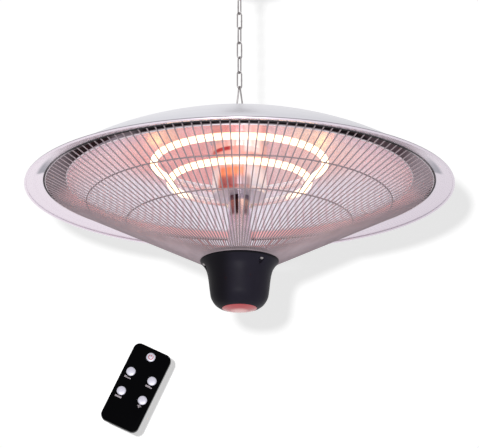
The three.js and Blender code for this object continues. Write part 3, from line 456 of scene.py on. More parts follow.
def drum(radius, bottom, top, steps=ROUND_STEPS, edge=0, place=(0, 0)):
    """An upright cylinder with softened edges."""
    bm = bmesh.new()
    spot = shift(*place, (bottom + top) / 2)
    bmesh.ops.create_cone(
        bm, cap_ends=True, segments=steps, radius1=radius, radius2=radius, depth=top - bottom, matrix=spot
    )
    if edge:
        bevelled(bm, sharp_edges(bm), edge)
    return tidied(bm)


def arc(centre, radius, start, sweep, steps):
    angles = [math.radians(start + sweep * i / steps) for i in range(steps + 1)]
    return [(centre[0] + radius * math.cos(a), centre[1] + radius * math.sin(a)) for a in angles]


def hoop(radius, height, wire_radius, steps=DISH_STEPS, sides=10):
    section = arc((radius, height), wire_radius, 0, 360, sides)[:-1]
    return spun(section, steps, closed=True)


def eased(points, steps=6):
    """A smooth line through points."""
    knots = [Vector(p) for p in points]
    line = []
    for i in range(len(knots) - 1):
        start, end = knots[i], knots[i + 1]
        before, after = knots[max(i - 1, 0)], knots[min(i + 2, len(knots) - 1)]
        reach = (end - start).length / 3
        lead = start + (end - before).normalized() * reach
        trail = end - (after - start).normalized() * reach
        line += interpolate_bezier(start, lead, trail, end, steps + 1)[:-1]
    return line + [knots[-1]]


def wire(points, radius, closed=False, sides=3, rounded=True):
    """A round wire along points, with softened ends."""
    curve = bpy.data.curves.new("wire", "CURVE")
    curve.dimensions = "3D"
    curve.bevel_depth = radius
    curve.bevel_resolution = sides
    curve.use_fill_caps = True
    line = curve.splines.new("POLY")
    line.points.add(len(points) - 1)
    for point, place in zip(line.points, points):
        point.co = (*place, 1)
    line.use_cyclic_u = closed
    holder = linked("wire", curve)
    bm = bmesh.new()
    bm.from_mesh(holder.to_mesh())
    holder.to_mesh_clear()
    bpy.data.objects.remove(holder)
    bpy.data.curves.remove(curve)
    tidied(bm)
    if rounded and not closed:
        bevelled(bm, sharp_edges(bm), radius / 2)
    return bm


def meshed(name, bm):
    mesh = bpy.data.meshes.new(name)
    bm.to_mesh(mesh)
    bm.free()
    return mesh


def carved(bm, *tools):
    """bm with the tools' shapes taken out of it."""
    return shaped(bm, "DIFFERENCE", *tools)


def shaped(bm, operation, *shapes):
    """bm cut or joined by one boolean step for each of the shapes."""
    body = linked("body", meshed("body", bm))
    tools = [linked("tool", meshed("tool", shape)) for shape in shapes]
    for tool in tools:
        step = body.modifiers.new("step", "BOOLEAN")
        step.operation = operation
        step.solver = "EXACT"
        step.object = tool
    result = bmesh.new()
    result.from_mesh(body.evaluated_get(bpy.context.evaluated_depsgraph_get()).to_mesh())
    for used in [body, *tools]:
        mesh = used.data
        bpy.data.objects.remove(used)
        bpy.data.meshes.remove(mesh)
    bmesh.ops.remove_doubles(result, verts=result.verts, dist=MERGE)
    return result


def merged(*parts):
    """Several shapes as one, which is the first of them."""
    first = parts[0]
    for part in parts[1:]:
        mesh = meshed("part", part)
        first.from_mesh(mesh)
        bpy.data.meshes.remove(mesh)
    return first


def shift(x=0, y=0, z=0):
    return Matrix.Translation((x, y, z))


def turned(axis, angle=QUARTER_TURN):
    return Matrix.Rotation(angle, 4, axis)


def moved(bm, matrix):
    bmesh.ops.transform(bm, matrix=matrix, verts=bm.verts)
    return bm


def over_rim(bm):
    return moved(bm, shift(z=RIM_Z))


def piece(name, bm, finishes, *stands_for, body="heater"):
    """Makes the finished object: its finishes, its body and the solids that it stands for."""
    finishes = finishes if isinstance(finishes, list) else [finishes]
    mesh = meshed(name, bm)
    mesh.shade_smooth()
    mesh.set_sharp_from_angle(angle=SHARP_ANGLE)
    for material in finishes:
        mesh.materials.append(material)
    made = linked(name, mesh)
    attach(made, body)
    if stands_for:
        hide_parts(*stands_for)
    return made


# Dish and reflector

DOME_BULGE = 102.7 * MM
DOME_POWER = 1.287
DOME_ROOT = 1.417
DOME_POINTS = 40
BEAD_STEPS = 14
DISH_PAD = 78 * MM
DISH_SHEET = 1 * MM
LIP_LINE = [(1.2 * MM, 0.6 * MM), (8 * MM, -1.2 * MM)]  # outwards and up from the lip
FLARE_LINE = [(8 * MM, 3.1 * MM), (3 * MM, 1.6 * MM)]  # inwards and up from the rim
FLARE_START = 1 * MM  # outside the lip
# The lip's shade that LIP_BAND spans is painted shade
LIP_BAND = (3 * MM, 4 * MM)  # how far inwards and up the lip's own shade goes
BEAD_BAND = 1.5 * RIM_BEAD
UPPER_FACES = 0.02  # the least upward share of a normal on the dish's outer side

REFLECTOR_RADIUS = 241.5 * MM
REFLECTOR_RISE = 10.5 * MM
REFLECTOR_BULGE = 63 * MM
REFLECTOR_POWER = 1.9
REFLECTOR_ROOT = 1.3
REFLECTOR_POINTS = 32
REFLECTOR_PAD = 62 * MM
REFLECTOR_SHEET = 0.8 * MM
REFLECTOR_BEAD = 1.1 * MM
BEAD_OFFSET = (0.2 * MM, 0.4 * MM)  # of the reflector's bead, outwards and up
REFLECTOR_BAND = 0.6 * MM
BACK_FACES = 0.2  # the least upward share of a normal on the reflector's back

LOOM_HOLE = 5 * MM
LOOM_OFFSET = 31 * MM
SPACER_EDGE = 0.5 * MM


def dome_rise(radius):
    reach = max(1 - (radius / LIP_RADIUS) ** DOME_POWER, 0)
    return LIP_RISE + DOME_BULGE * reach ** (1 / DOME_ROOT)


def reflector_rise(radius):
    reach = max(1 - (radius / REFLECTOR_RADIUS) ** REFLECTOR_POWER, 0)
    return REFLECTOR_RISE + REFLECTOR_BULGE * reach ** (1 / REFLECTOR_ROOT)


def sampled(inner, outer, steps, height):
    """Points of a curve that steepens outwards, closer together there."""
    radii = [outer - (outer - inner) * (1 - i / steps) ** 2 for i in range(steps + 1)]
    return [(radius, height(radius)) for radius in radii]


def shifted(outline, distance):
    """The outline's other side, one sheet's thickness away."""
    points = [Vector(p) for p in outline]
    result = []
    for i, point in enumerate(points):
        run = points[min(i + 1, len(points) - 1)] - points[max(i - 1, 0)]
        across = Vector((run.y, -run.x)).normalized()
        result.append(tuple(point + across * distance))
    return result


def with_loom_hole(shell, rise):
    hole = drum(LOOM_HOLE, rise - OVERRUN, rise + OVERRUN, place=(0, LOOM_OFFSET))
    return over_rim(carved(shell, hole))


def finished(shell, finishes, finish_of):
    """Gives each face the finish that its place asks for."""
    for face in shell.faces:
        face.material_index = finishes.index(finish_of(face))
    return shell


def dish_finish(face):
    centre = face.calc_center_median()
    reach = math.hypot(centre.x, centre.y)
    inwards, upwards = LIP_BAND
    if face.normal.z > UPPER_FACES:
        return bead_metal if reach > RIM_RADIUS - BEAD_BAND else dish_metal
    if reach > LIP_RADIUS + FLARE_START:
        return rim_metal
    return edge_metal if reach > LIP_RADIUS - inwards and centre.z < LIP_RISE + upwards else inside_metal


def make_dish():
    pad_rise = dome_rise(DISH_PAD)
    outline = [(ROD_HOLE, pad_rise), *sampled(DISH_PAD, LIP_RADIUS, DOME_POINTS, dome_rise)]
    outline += [(LIP_RADIUS + out, LIP_RISE + rise) for out, rise in LIP_LINE]
    outline += [(RIM_RADIUS - inset, rise) for inset, rise in FLARE_LINE]
    bead = arc((RIM_RADIUS - RIM_BEAD, 0), RIM_BEAD, 100, -270, BEAD_STEPS)
    under = shifted(outline, DISH_SHEET)[::-1]
    finishes = [dish_metal, rim_metal, inside_metal, bead_metal, edge_metal]
    shell = finished(spun([*outline, *bead, *under], DISH_STEPS, closed=True), finishes, dish_finish)
    piece("spun_dish", with_loom_hole(shell, pad_rise), finishes, "outer_dish")


def reflector_finish(face):
    centre = face.calc_center_median()
    if math.hypot(centre.x, centre.y) > REFLECTOR_RADIUS - REFLECTOR_BAND:
        return lip_metal
    return inside_metal if face.normal.z > BACK_FACES else mirror_metal


def make_reflector():
    pad_rise = reflector_rise(REFLECTOR_PAD)
    curve = sampled(REFLECTOR_PAD, REFLECTOR_RADIUS, REFLECTOR_POINTS, reflector_rise)
    under = [(ROD_HOLE, pad_rise), *curve]
    out, rise = BEAD_OFFSET
    bead = arc((REFLECTOR_RADIUS + out, REFLECTOR_RISE + rise), REFLECTOR_BEAD, 200, 270, BEAD_STEPS)
    top = shifted(under, -REFLECTOR_SHEET)[::-1]
    finishes = [mirror_metal, inside_metal, lip_metal]
    shell = finished(spun([*under, *bead, *top], DISH_STEPS, closed=True), finishes, reflector_finish)
    piece("mirror_reflector", with_loom_hole(shell, pad_rise), finishes, "inner_reflector")


def make_spacers():
    for i in range(1, 4):
        node = f"reflector_spacer_{i}"
        radius = (high(node).y - low(node).y) / 2
        post = drum(radius, *heights(node), edge=SPACER_EDGE, place=middle(node).xy)
        piece(f"turned_spacer_{i}", post, zinc, node)


# Rod, nuts, bracket and bail

ROD_RADIUS = 4 * MM
THREAD_PITCH = 1.25 * MM
THREAD_DEPTH = 0.5 * MM
THREADED_LENGTH = 20 * MM  # of each end; between the nuts the rod is out of sight
NUT_CHAMFER = 0.8 * MM


def make_rod():
    bottom, top = heights("threaded_rod")
    root = ROD_RADIUS - THREAD_DEPTH
    turns = int(THREADED_LENGTH / THREAD_PITCH)
    profile = [(0, top), (root, top)]
    for i in range(turns):
        profile += [(ROD_RADIUS, top - (i + 0.5) * THREAD_PITCH), (root, top - (i + 1) * THREAD_PITCH)]
    for i in range(turns, 0, -1):
        profile += [(root, bottom + i * THREAD_PITCH), (ROD_RADIUS, bottom + (i - 0.5) * THREAD_PITCH)]
    profile += [(root, bottom), (0, bottom)]
    piece("m8_rod", spun(profile, ROD_STEPS), zinc, "threaded_rod")


def make_nuts():
    for end in ("top", "bottom"):
        node = f"rod_nut_{end}"
        bottom, top = heights(node)
        radius = high(node).y
        tip, skirt, wide = radius - 2 * NUT_CHAMFER, radius + NUT_CHAMFER, radius + 4 * NUT_CHAMFER
        cone = spun(
            [
                (tip, bottom - MERGE), (skirt, bottom + NUT_CHAMFER), (skirt, top - NUT_CHAMFER),
                (tip, top + MERGE), (wide, top + OVERRUN), (wide, bottom - OVERRUN),
            ],
            closed=True,
        )
        bore = drum(ROD_HOLE, bottom - OVERRUN, top + OVERRUN)
        piece(f"hex_nut_{end}", carved(drum(radius, bottom, top, 6), cone, bore), zinc, node)


CHAIN_TURN = math.radians(32)
ACROSS_CHAIN = CHAIN_TURN + QUARTER_TURN
LINK_COUNT = 7
LINK_WIRE = 1 * MM

BAIL_WIRE = 1.15 * MM
BAIL_RISE = 110 * MM
BAIL_APEX = 152 * MM
BAIL_FOOT = 17 * MM
BAIL_SPREAD = 10 * MM
BAIL_BEND_SHARES = [(3, 0), (1.5, 0.15), (0.4, 1.2), (0, 3)]  # of the wire's radius, outwards and up
BRACKET_SHEET = 2 * MM
BRACKET_WIDTH = 18 * MM
BRACKET_EAR = 22 * MM
BRACKET_INSIDE = 12.4 * MM
BRACKET_EDGE = 0.25 * MM
BRACKET_BEVEL_ANGLE = math.radians(70)
EAR_CORNER = 6 * MM
FOOT_PLAY = 0.35 * MM  # round the bail's feet in the bracket's ears


def make_bail():
    shoulder = BAIL_WIRE + LINK_WIRE
    side = [(BAIL_FOOT, BAIL_RISE)]
    side += [(BAIL_SPREAD + out * BAIL_WIRE, BAIL_RISE + rise * BAIL_WIRE) for out, rise in BAIL_BEND_SHARES]
    side += [(shoulder, BAIL_APEX - 2 * shoulder), (shoulder, BAIL_APEX - shoulder)]
    bend = [(x, BAIL_APEX - shoulder + y) for x, y in arc((0, 0), shoulder, 135, -90, 4)]
    line = [(-x, z) for x, z in side] + bend + side[::-1]
    path = eased([(x, 0, z) for x, z in line])
    bail = moved(wire(path, BAIL_WIRE), turned("Z", ACROSS_CHAIN))
    piece("bent_bail", over_rim(bail), zinc, "hanging_bail", body="hanging_bail")


def make_bracket():
    bottom = low("hanging_bracket").z
    top = bottom + BRACKET_EAR
    width = 2 * (BRACKET_INSIDE + BRACKET_SHEET)
    block = slab(width, BRACKET_WIDTH, bottom, top)
    bends = [e for e in edges_at(block, bottom) if abs(e.verts[0].co.x - e.verts[1].co.x) < MM]
    bevelled(block, bends, 1.5 * BRACKET_SHEET, 5)
    long_edges = [e for e in block.edges if abs(e.verts[0].co.x - e.verts[1].co.x) > width / 2]
    ears = [e for e in long_edges if e.verts[0].co.z > top - MM]
    bevelled(block, ears, EAR_CORNER, 6)
    inside = slab(2 * BRACKET_INSIDE, BRACKET_WIDTH + 2 * OVERRUN, bottom + BRACKET_SHEET, top + OVERRUN)
    floor_edges = [e for e in inside.edges if all(v.co.z < bottom + 2 * BRACKET_SHEET for v in e.verts)]
    seats = [e for e in floor_edges if abs(e.verts[0].co.y - e.verts[1].co.y) > BRACKET_WIDTH / 2]
    bevelled(inside, seats, BRACKET_SHEET / 2, 4)
    rod_hole = drum(ROD_HOLE, bottom - OVERRUN, bottom + BRACKET_SHEET + OVERRUN)
    feet_hole = moved(drum(BAIL_WIRE + FOOT_PLAY, -width, width), shift(z=RIM_Z + BAIL_RISE) @ turned("Y"))
    bracket = carved(block, inside, rod_hole, feet_hole)
    bevelled(bracket, sharp_edges(bracket, BRACKET_BEVEL_ANGLE), BRACKET_EDGE, 2)
    piece("pressed_bracket", moved(bracket, turned("Z", ACROSS_CHAIN)), zinc, "hanging_bracket")


# Chain, hook and ceiling plate

LINK_BEND = 3.5 * MM
LINK_SIDES = 6
WELD_LENGTH = 1.2 * MM
WELD_SHARE = 0.14  # how much thicker the wire is at its weld
HOOK_WIRE = 2 * MM
HOOK_BEND = 8 * MM
HOOK_NECK = 6 * MM
HOOK_SHANK = 3 * MM
HOOK_EDGE = 0.4 * MM
PLATE_BOSS = 10 * MM  # its radius and its height
PLATE_SHEET = 4 * MM
PLATE_EDGES = (1 * MM, 2 * MM, 1.5 * MM, 0.3 * MM)  # of the boss, its foot, the rim and the ceiling face
PLATE_HOLES = 24 * MM
SINK_RADIUS = 4.6 * MM
SINK_FOOT = 1.8 * MM
PLATE_SCREW = 2.4 * MM
HOOK_SOCKET = (3.3 * MM, 7 * MM)  # radius and depth


def make_links():
    for i in range(1, LINK_COUNT + 1):
        node = f"chain_link_{i}"
        bottom, top = low(node).z + LINK_WIRE, high(node).z - LINK_WIRE
        upper = [(x, 0, z) for x, z in arc((0, top - LINK_BEND), LINK_BEND, 0, 180, 14)]
        lower = [(x, 0, z) for x, z in arc((0, bottom + LINK_BEND), LINK_BEND, 180, 180, 14)]
        fall = bottom + LINK_BEND - (top - LINK_BEND)
        left = [(-LINK_BEND, 0, top - LINK_BEND + fall * k / LINK_SIDES) for k in range(1, LINK_SIDES)]
        right = [(LINK_BEND, 0, bottom + LINK_BEND - fall * k / LINK_SIDES) for k in range(1, LINK_SIDES)]
        link = wire(upper + left + lower + right, LINK_WIRE, closed=True, sides=4)
        for vert in link.verts:  # the butt weld in the middle of one side
            above = (vert.co.z - (top + bottom) / 2) / WELD_LENGTH
            near = math.exp(-(above**2)) if vert.co.x > 0 else 0
            line = Vector((LINK_BEND, 0, vert.co.z))
            vert.co = line + (vert.co - line) * (1 + WELD_SHARE * near)
        moved(link, turned("Z", CHAIN_TURN + (i + 1) % 2 * QUARTER_TURN))
        piece(f"welded_link_{i}", link, zinc, node, body=node)


def make_hook():
    centre = -PLATE_BOSS - HOOK_NECK - HOOK_BEND
    bend = [(x, 0, z) for x, z in arc((0, centre), HOOK_BEND, 50, -250, 30)]
    neck = [(0, 0, HOOK_WIRE - PLATE_BOSS), (0, 0, -PLATE_BOSS - HOOK_NECK / 2), bend[0]]
    hook = wire(eased(neck)[:-1] + bend, HOOK_WIRE, sides=5)
    top = high("ceiling_hook").z
    shank = drum(HOOK_SHANK, -PLATE_BOSS - HOOK_NECK / 3, top, ROD_STEPS, HOOK_EDGE)
    moved(merged(hook, shank), turned("Z", ACROSS_CHAIN))
    piece("open_hook", hook, zinc, "ceiling_hook", body="root")


def make_plate():
    radius = -low("ceiling_plate").y
    boss_edge, foot, edge, face_edge = PLATE_EDGES
    profile = [(0, -PLATE_BOSS), (PLATE_BOSS - boss_edge, -PLATE_BOSS)]
    profile += arc((PLATE_BOSS - boss_edge, boss_edge - PLATE_BOSS), boss_edge, -90, 90, 4)[1:]
    profile += arc((PLATE_BOSS + foot, -PLATE_SHEET - foot), foot, 180, -90, 5)
    profile += arc((radius - edge, edge - PLATE_SHEET), edge, -90, 90, 5)
    profile += [(radius, -face_edge), (radius - face_edge, 0), (0, 0)]
    socket_radius, socket_depth = HOOK_SOCKET
    tools = [drum(socket_radius, -PLATE_BOSS - OVERRUN, -PLATE_BOSS + socket_depth)]
    for side in (-1, 1):
        sink = spun(
            [
                (0, -PLATE_SHEET - OVERRUN), (SINK_RADIUS, -PLATE_SHEET - OVERRUN),
                (SINK_RADIUS, -PLATE_SHEET), (PLATE_SCREW, -SINK_FOOT), (PLATE_SCREW, OVERRUN), (0, OVERRUN),
            ]
        )
        tools.append(moved(sink, shift(side * PLATE_HOLES)))
    piece("ceiling_rose", carved(spun(profile, HUB_STEPS), *tools), zinc, "ceiling_plate", body="root")


# Wiring cover and cable gland on the dome

COVER_WALL = 2 * MM
COVER_CORNER = 6 * MM
COVER_EDGE = 2.5 * MM
COVER_SCREWS = 21 * MM  # of each from the cover's middle
COVER_SCREW = (2.8 * MM, 1.6 * MM, 0.7 * MM)  # head's radius and height, and the width of its recess
COVER_WELL = (3.4 * MM, 1.2 * MM)  # radius and depth
GLAND_BORE = 4 * MM
GLAND_HOLE = 7.95 * MM
GLAND_BARREL = 7.5 * MM
GLAND_FLANGE = (11 * MM, 5 * MM)  # radius and length
GLAND_FLANGE_HOLE = 7 * MM
GLAND_SEAT = (6.35 * MM, 8 * MM)  # radius and place of the seal's seat
GLAND_INSIDE = 7 * MM  # how far the barrel reaches into the cover
GLAND_OUTSIDE = 14 * MM
GLAND_CUT = (10 * MM, 30 * MM)  # how far its bores are cut, inwards and outwards
GLAND_EDGES = (0.5 * MM, 0.4 * MM)  # of the flange and of the barrel
# The gland nut's outline: radius, and distance from the flange, in millimetres
GLAND_NUT_LINE = [
    (7.95, 0), (10.1, 0), (10.5, 0.5), (10.5, 6), (9.6, 10), (8.2, 12.2),
    (7, 13), (4.6, 13), (4, 12.4), (4, 9.3), (7.95, 9.3),
]
FLUTES = 18
FLUTE_SHARE = 0.045
FLUTED_FROM = 9 * MM
# The seal's outline: radius, and distance from the cover, in millimetres
SEAL_LINE = [(4, 8.5), (5.8, 8.5), (6, 8.8), (6, 14), (5.6, 14.3), (4.4, 14.3), (4, 13.9)]


def screw(place, top, radius, height, slot_width):
    """A pan-head screw with a cross recess, its head down."""
    bottom, brim, crown = top - height, top - 0.4 * height, radius - 0.6 * height
    head = spun([(0, bottom), (crown, bottom), (radius, brim), (radius, top), (0, top)], ROD_STEPS)
    arm = radius * 1.1
    recess = bottom - OVERRUN, top - 0.45 * height
    cross = [slab(arm, slot_width, *recess), slab(slot_width, arm, *recess)]
    return moved(carved(head, *cross), shift(*place))


def make_cover():
    bottom, top = heights("wiring_cover")
    size = high("wiring_cover") - low("wiring_cover")
    place = shift(*middle("wiring_cover").xy)
    outer = slab(size.x, size.y, bottom, top, COVER_CORNER, steps=10)
    bevelled(outer, edges_at(outer, top), COVER_EDGE, 5)
    hollow = size.x - 2 * COVER_WALL, size.y - 2 * COVER_WALL
    inside = slab(*hollow, bottom - OVERRUN, top - COVER_WALL, COVER_CORNER - COVER_WALL)
    gland_hole = drum(GLAND_HOLE, 0, size.y)
    moved(gland_hole, shift(z=middle("cable_gland").z) @ turned("X", -QUARTER_TURN))
    well_radius, well_depth = COVER_WELL
    spots = [side * COVER_SCREWS for side in (-1, 1)]
    wells = [drum(well_radius, top - well_depth, top + OVERRUN, place=(x, 0)) for x in spots]
    cover = moved(carved(outer, inside, gland_hole, *wells), place)
    piece("moulded_cover", cover, black_plastic, "wiring_cover")
    screws = []
    for x in spots:
        head = moved(screw((0, 0), 0, *COVER_SCREW), turned("X", math.pi))
        screws.append(moved(head, place @ shift(x, 0, top - well_depth)))
    piece("cover_screws", merged(*screws), zinc)


def make_gland():
    spin_back = shift(0, high("wiring_cover").y, middle("cable_gland").z) @ turned("X", -QUARTER_TURN)
    radius, length = GLAND_FLANGE
    flange_edge, barrel_edge = GLAND_EDGES
    flange = drum(radius, SEAT_GAP, SEAT_GAP + length, 6, flange_edge)
    barrel = drum(GLAND_BARREL, -GLAND_INSIDE, SEAT_GAP + GLAND_OUTSIDE, edge=barrel_edge)
    inwards, outwards = GLAND_CUT
    bore = drum(GLAND_BORE, -inwards, outwards)
    seat = drum(*GLAND_SEAT, outwards)
    hole = drum(GLAND_FLANGE_HOLE, -OVERRUN, inwards)
    body = moved(merged(carved(flange, hole), carved(barrel, bore, seat)), spin_back)
    piece("gland_body", body, black_plastic, "cable_gland")
    start = 2 * SEAT_GAP + length
    shell = spun([(r * MM, start + z * MM) for r, z in GLAND_NUT_LINE], FLUTES * 4, closed=True)
    for vert in shell.verts:  # grip flutes round the nut's skirt
        if math.hypot(vert.co.x, vert.co.y) > FLUTED_FROM:
            turn = math.atan2(vert.co.y, vert.co.x)
            vert.co.xy *= 1 - FLUTE_SHARE * max(math.cos(FLUTES * turn), 0)
    piece("gland_cap", moved(shell, spin_back), black_plastic, "gland_nut")
    ring = spun([(r * MM, z * MM) for r, z in SEAL_LINE], closed=True)
    piece("rubber_seal", moved(ring, spin_back), seal_rubber, "gland_seal")


# Can, column and lamps

CAN_RADIUS = 38 * MM
CAN_FLANGE = 4 * MM
CAN_WALL = 1 * MM
CAN_MOUTH = 14 * MM
CAN_CORNER = 2 * MM
CAN_FLAT = 2.5 * MM  # from the flat bottom's edge to the can's side
CAN_BEADS = (7 * MM, 18 * MM)  # above the bottom and below the top
CAN_BEAD = (1.5 * MM, 0.8 * MM)  # half its width, and its depth
COLUMN_RADIUS = 15.6 * MM
COLUMN_WALL = 1.2 * MM
COLUMN_EDGE = 0.4 * MM

COIL_RADIUS = 1.5 * MM
COIL_WIRE = 0.35 * MM
COIL_PITCH = 3 * MM  # coarser than the real winding, which is too fine to show
COIL_STEPS = 7
COIL_INSET = 2 * MM  # from the tube's end
SUPPORT_SPACING = 40 * MM
SUPPORT_DISC = (3.7 * MM, 0.3 * MM)  # radius and thickness
TUBE_END = 1.2 * MM  # from the bottom of the cap's bore to the tube's end
TUBE_STEPS = 128
TUBE_SIDES = 20
CAP_RADIUS = 8 * MM
CAP_LENGTH = 16 * MM
CAP_BORE = 8 * MM
CAP_PLAY = 0.6 * MM
CAP_EDGE = 1 * MM
CAP_GROOVE = [(0, 4), (0.8, 4.6), (0.8, 5.8), (0, 6.4)]  # millimetres in from its side and from its back
HOLDER_SHEET = 3 * MM
HOLDER_HOLE = 2.2 * MM
HOLDER_HOLE_RISE = 4 * MM
HOLDER_EDGE = 0.6 * MM


def make_can():
    bottom, top = (z - RIM_Z for z in heights("lamp_can"))
    inner = CAN_RADIUS - CAN_WALL
    half, depth = CAN_BEAD
    outside = [(CAN_MOUTH, bottom), (CAN_RADIUS - CAN_FLAT, bottom)]
    outside += arc((CAN_RADIUS - CAN_CORNER, bottom + CAN_CORNER), CAN_CORNER, -75, 75, 5)
    for height in (bottom + CAN_BEADS[0], top - CAN_BEADS[1]):  # two rolled beads
        outside += [(CAN_RADIUS, height - half), (CAN_RADIUS - depth, height), (CAN_RADIUS, height + half)]
    outside += [(CAN_RADIUS, top - 2 * CAN_WALL), (CAN_RADIUS + CAN_WALL, top - CAN_WALL)]
    outside += [(CAN_RADIUS + CAN_FLANGE, top - CAN_WALL), (CAN_RADIUS + CAN_FLANGE, top)]
    inside = [(inner, top), (inner, bottom + CAN_WALL), (CAN_MOUTH, bottom + CAN_WALL)]
    can = spun([*outside, *inside], HUB_STEPS, closed=True)
    piece("drawn_can", over_rim(can), can_chrome, "lamp_can")


def make_column():
    bottom, top = heights("column_sleeve")
    inner, edge = COLUMN_RADIUS - COLUMN_WALL, COLUMN_EDGE
    outside = [
        (COLUMN_RADIUS - edge, bottom), (COLUMN_RADIUS, bottom + edge),
        (COLUMN_RADIUS, top - edge), (COLUMN_RADIUS - edge, top),
    ]
    tube = spun([(inner, bottom), *outside, (inner, top)], SLEEVE_STEPS, closed=True)
    piece("chromed_column", tube, column_chrome, "column_sleeve")


def ring_tube(radius, height, gap):
    """A lamp's tube, bent into a ring with an opening of twice the angle gap at the back."""
    bm = bmesh.new()
    place = shift(radius, 0, height) @ turned("X")
    made = bmesh.ops.create_circle(bm, segments=TUBE_SIDES, radius=LAMP_TUBE, matrix=place)
    edges = list({e for v in made["verts"] for e in v.link_edges})
    bmesh.ops.spin(
        bm, geom=made["verts"] + edges, cent=(0, 0, 0), axis=(0, 0, 1), angle=FULL_TURN - 2 * gap,
        steps=TUBE_STEPS,
    )
    bmesh.ops.holes_fill(bm, edges=[e for e in bm.edges if e.is_boundary], sides=TUBE_SIDES)
    tidied(bm)
    return moved(bm, turned("Z", QUARTER_TURN + gap))


def winding(radius, rise, gap):
    """A lamp's coil on its ring, and the discs that hold it in the middle of the tube."""
    sweep = FULL_TURN - 2 * gap - 2 * COIL_INSET / radius
    steps = int(sweep * radius / COIL_PITCH) * COIL_STEPS
    path = []
    for i in range(steps + 1):
        around = FULL_TURN * i / COIL_STEPS
        turn = QUARTER_TURN + gap + COIL_INSET / radius + sweep * i / steps
        reach = radius + COIL_RADIUS * math.cos(around)
        path.append((reach * math.cos(turn), reach * math.sin(turn), rise + COIL_RADIUS * math.sin(around)))
    parts = [wire(path, COIL_WIRE, sides=0, rounded=False)]
    disc_radius, thickness = SUPPORT_DISC
    for i in range(1, int(sweep * radius / SUPPORT_SPACING)):
        turn = QUARTER_TURN + gap + i * SUPPORT_SPACING / radius
        disc = bmesh.new()
        bmesh.ops.create_cone(
            disc, cap_ends=True, segments=16, radius1=disc_radius, radius2=disc_radius, depth=thickness,
            matrix=turned("Z", turn) @ shift(radius, 0, rise) @ turned("X"),
        )
        parts.append(disc)
    return over_rim(merged(*parts))


def make_lamps():
    for where, (radius, rise) in LAMPS.items():
        inset = HOLDER_SHEET / 2 + SEAT_GAP + CAP_LENGTH - CAP_BORE / 2
        cap_turn = math.asin(inset / (radius - CAP_RADIUS))
        gap = cap_turn - (CAP_BORE / 2 - TUBE_END) / radius
        glass = over_rim(ring_tube(radius, rise, gap))
        tube = piece(f"quartz_tube_{where}", glass, quartz, f"quartz_ring_{where}")
        tube.visible_shadow = False
        coil = piece(f"tungsten_coil_{where}", winding(radius, rise, gap), tungsten, f"filament_{where}")
        coil.visible_glossy = False
        coil.visible_diffuse = False
        for side, sign in (("right", 1), ("left", -1)):
            to_end = turned("Z", -sign * cap_turn) @ shift(0, radius, rise)
            cap = over_rim(moved(ceramic_cap(), to_end @ turned("Y", sign * QUARTER_TURN)))
            piece(f"ceramic_end_{where}_{side}", cap, ceramic, f"lamp_cap_{where}_{side}")
        make_holder(where)


def ceramic_cap():
    mouth, back = CAP_BORE / 2, CAP_BORE / 2 - CAP_LENGTH
    bore = LAMP_TUBE + CAP_PLAY
    groove = [(CAP_RADIUS - depth * MM, back + rise * MM) for depth, rise in CAP_GROOVE]
    foot = [(0, back), (CAP_RADIUS - CAP_EDGE, back), (CAP_RADIUS, back + CAP_EDGE)]
    head = [(CAP_RADIUS, mouth - CAP_EDGE), (CAP_RADIUS - CAP_EDGE, mouth)]
    return spun([*foot, *groove, *head, (bore, mouth), (bore, -CAP_BORE / 2), (0, -CAP_BORE / 2)])


def make_holder(where):
    node = f"lamp_holder_{where}"
    size = high(node) - low(node)
    strip = slab(size.x, size.y, *heights(node), edge=HOLDER_EDGE)
    hole = moved(drum(HOLDER_HOLE, -size.x, size.x), shift(z=low(node).z + HOLDER_HOLE_RISE) @ turned("Y"))
    strip = moved(carved(strip, hole), shift(*middle(node).xy))
    piece(f"lamp_bracket_{where}", strip, zinc, node)


# Wire guard

WIRE_COUNT = 136
GUARD_WIRE = 0.9 * MM
GUARD_OUTER = (269.8 * MM, 4.8 * MM)  # the wires' outer ends: radius, and height over the rim
GUARD_INNER = (56 * MM, -103.4 * MM)
GUARD_INSET = 1.4 * MM  # how far the wires run on under the outer ring
OUTER_RING = (0.9 * MM, 0.8 * MM)  # its wire's radius, and how far it lies over the wires
INNER_RING = (54.6 * MM, 1.2 * MM)  # its radius and its wire's radius
SUPPORT_WIRE = 1 * MM


def guard_line(radius):
    """The height of the straight wires' middle line at a radius."""
    share = (GUARD_OUTER[0] - radius) / (GUARD_OUTER[0] - GUARD_INNER[0])
    return GUARD_OUTER[1] + share * (GUARD_INNER[1] - GUARD_OUTER[1])


def make_guard():
    reach, rise = GUARD_OUTER
    outer_wire, lift = OUTER_RING
    inner_reach, inner_wire = INNER_RING
    start = Vector((reach + GUARD_INSET, 0, guard_line(reach + GUARD_INSET)))
    end = Vector((inner_reach, 0, guard_line(inner_reach)))
    run = end - start
    lean = run.to_track_quat("Z", "Y").to_matrix().to_4x4()
    guard = bmesh.new()
    for i in range(WIRE_COUNT):
        turn = FULL_TURN * i / WIRE_COUNT - QUARTER_TURN
        bmesh.ops.create_cone(
            guard, cap_ends=True, segments=8, radius1=GUARD_WIRE, radius2=GUARD_WIRE, depth=run.length,
            matrix=turned("Z", turn) @ Matrix.Translation((start + end) / 2) @ lean,
        )
    outer = hoop(reach + outer_wire, rise + lift, outer_wire)
    for face in outer.faces:
        face.material_index = 1
    inner = hoop(inner_reach, GUARD_INNER[1], inner_wire, HUB_STEPS)
    piece("welded_guard", over_rim(merged(guard, outer, inner)), [guard_metal, ring_metal], "wire_guard")
    for where in ("outer", "inner"):
        node = f"guard_support_{where}"
        ring = hoop(high(node).x - SUPPORT_WIRE, middle(node).z, SUPPORT_WIRE)
        piece(f"guard_hoop_{where}", ring, guard_metal, node)


# Hub

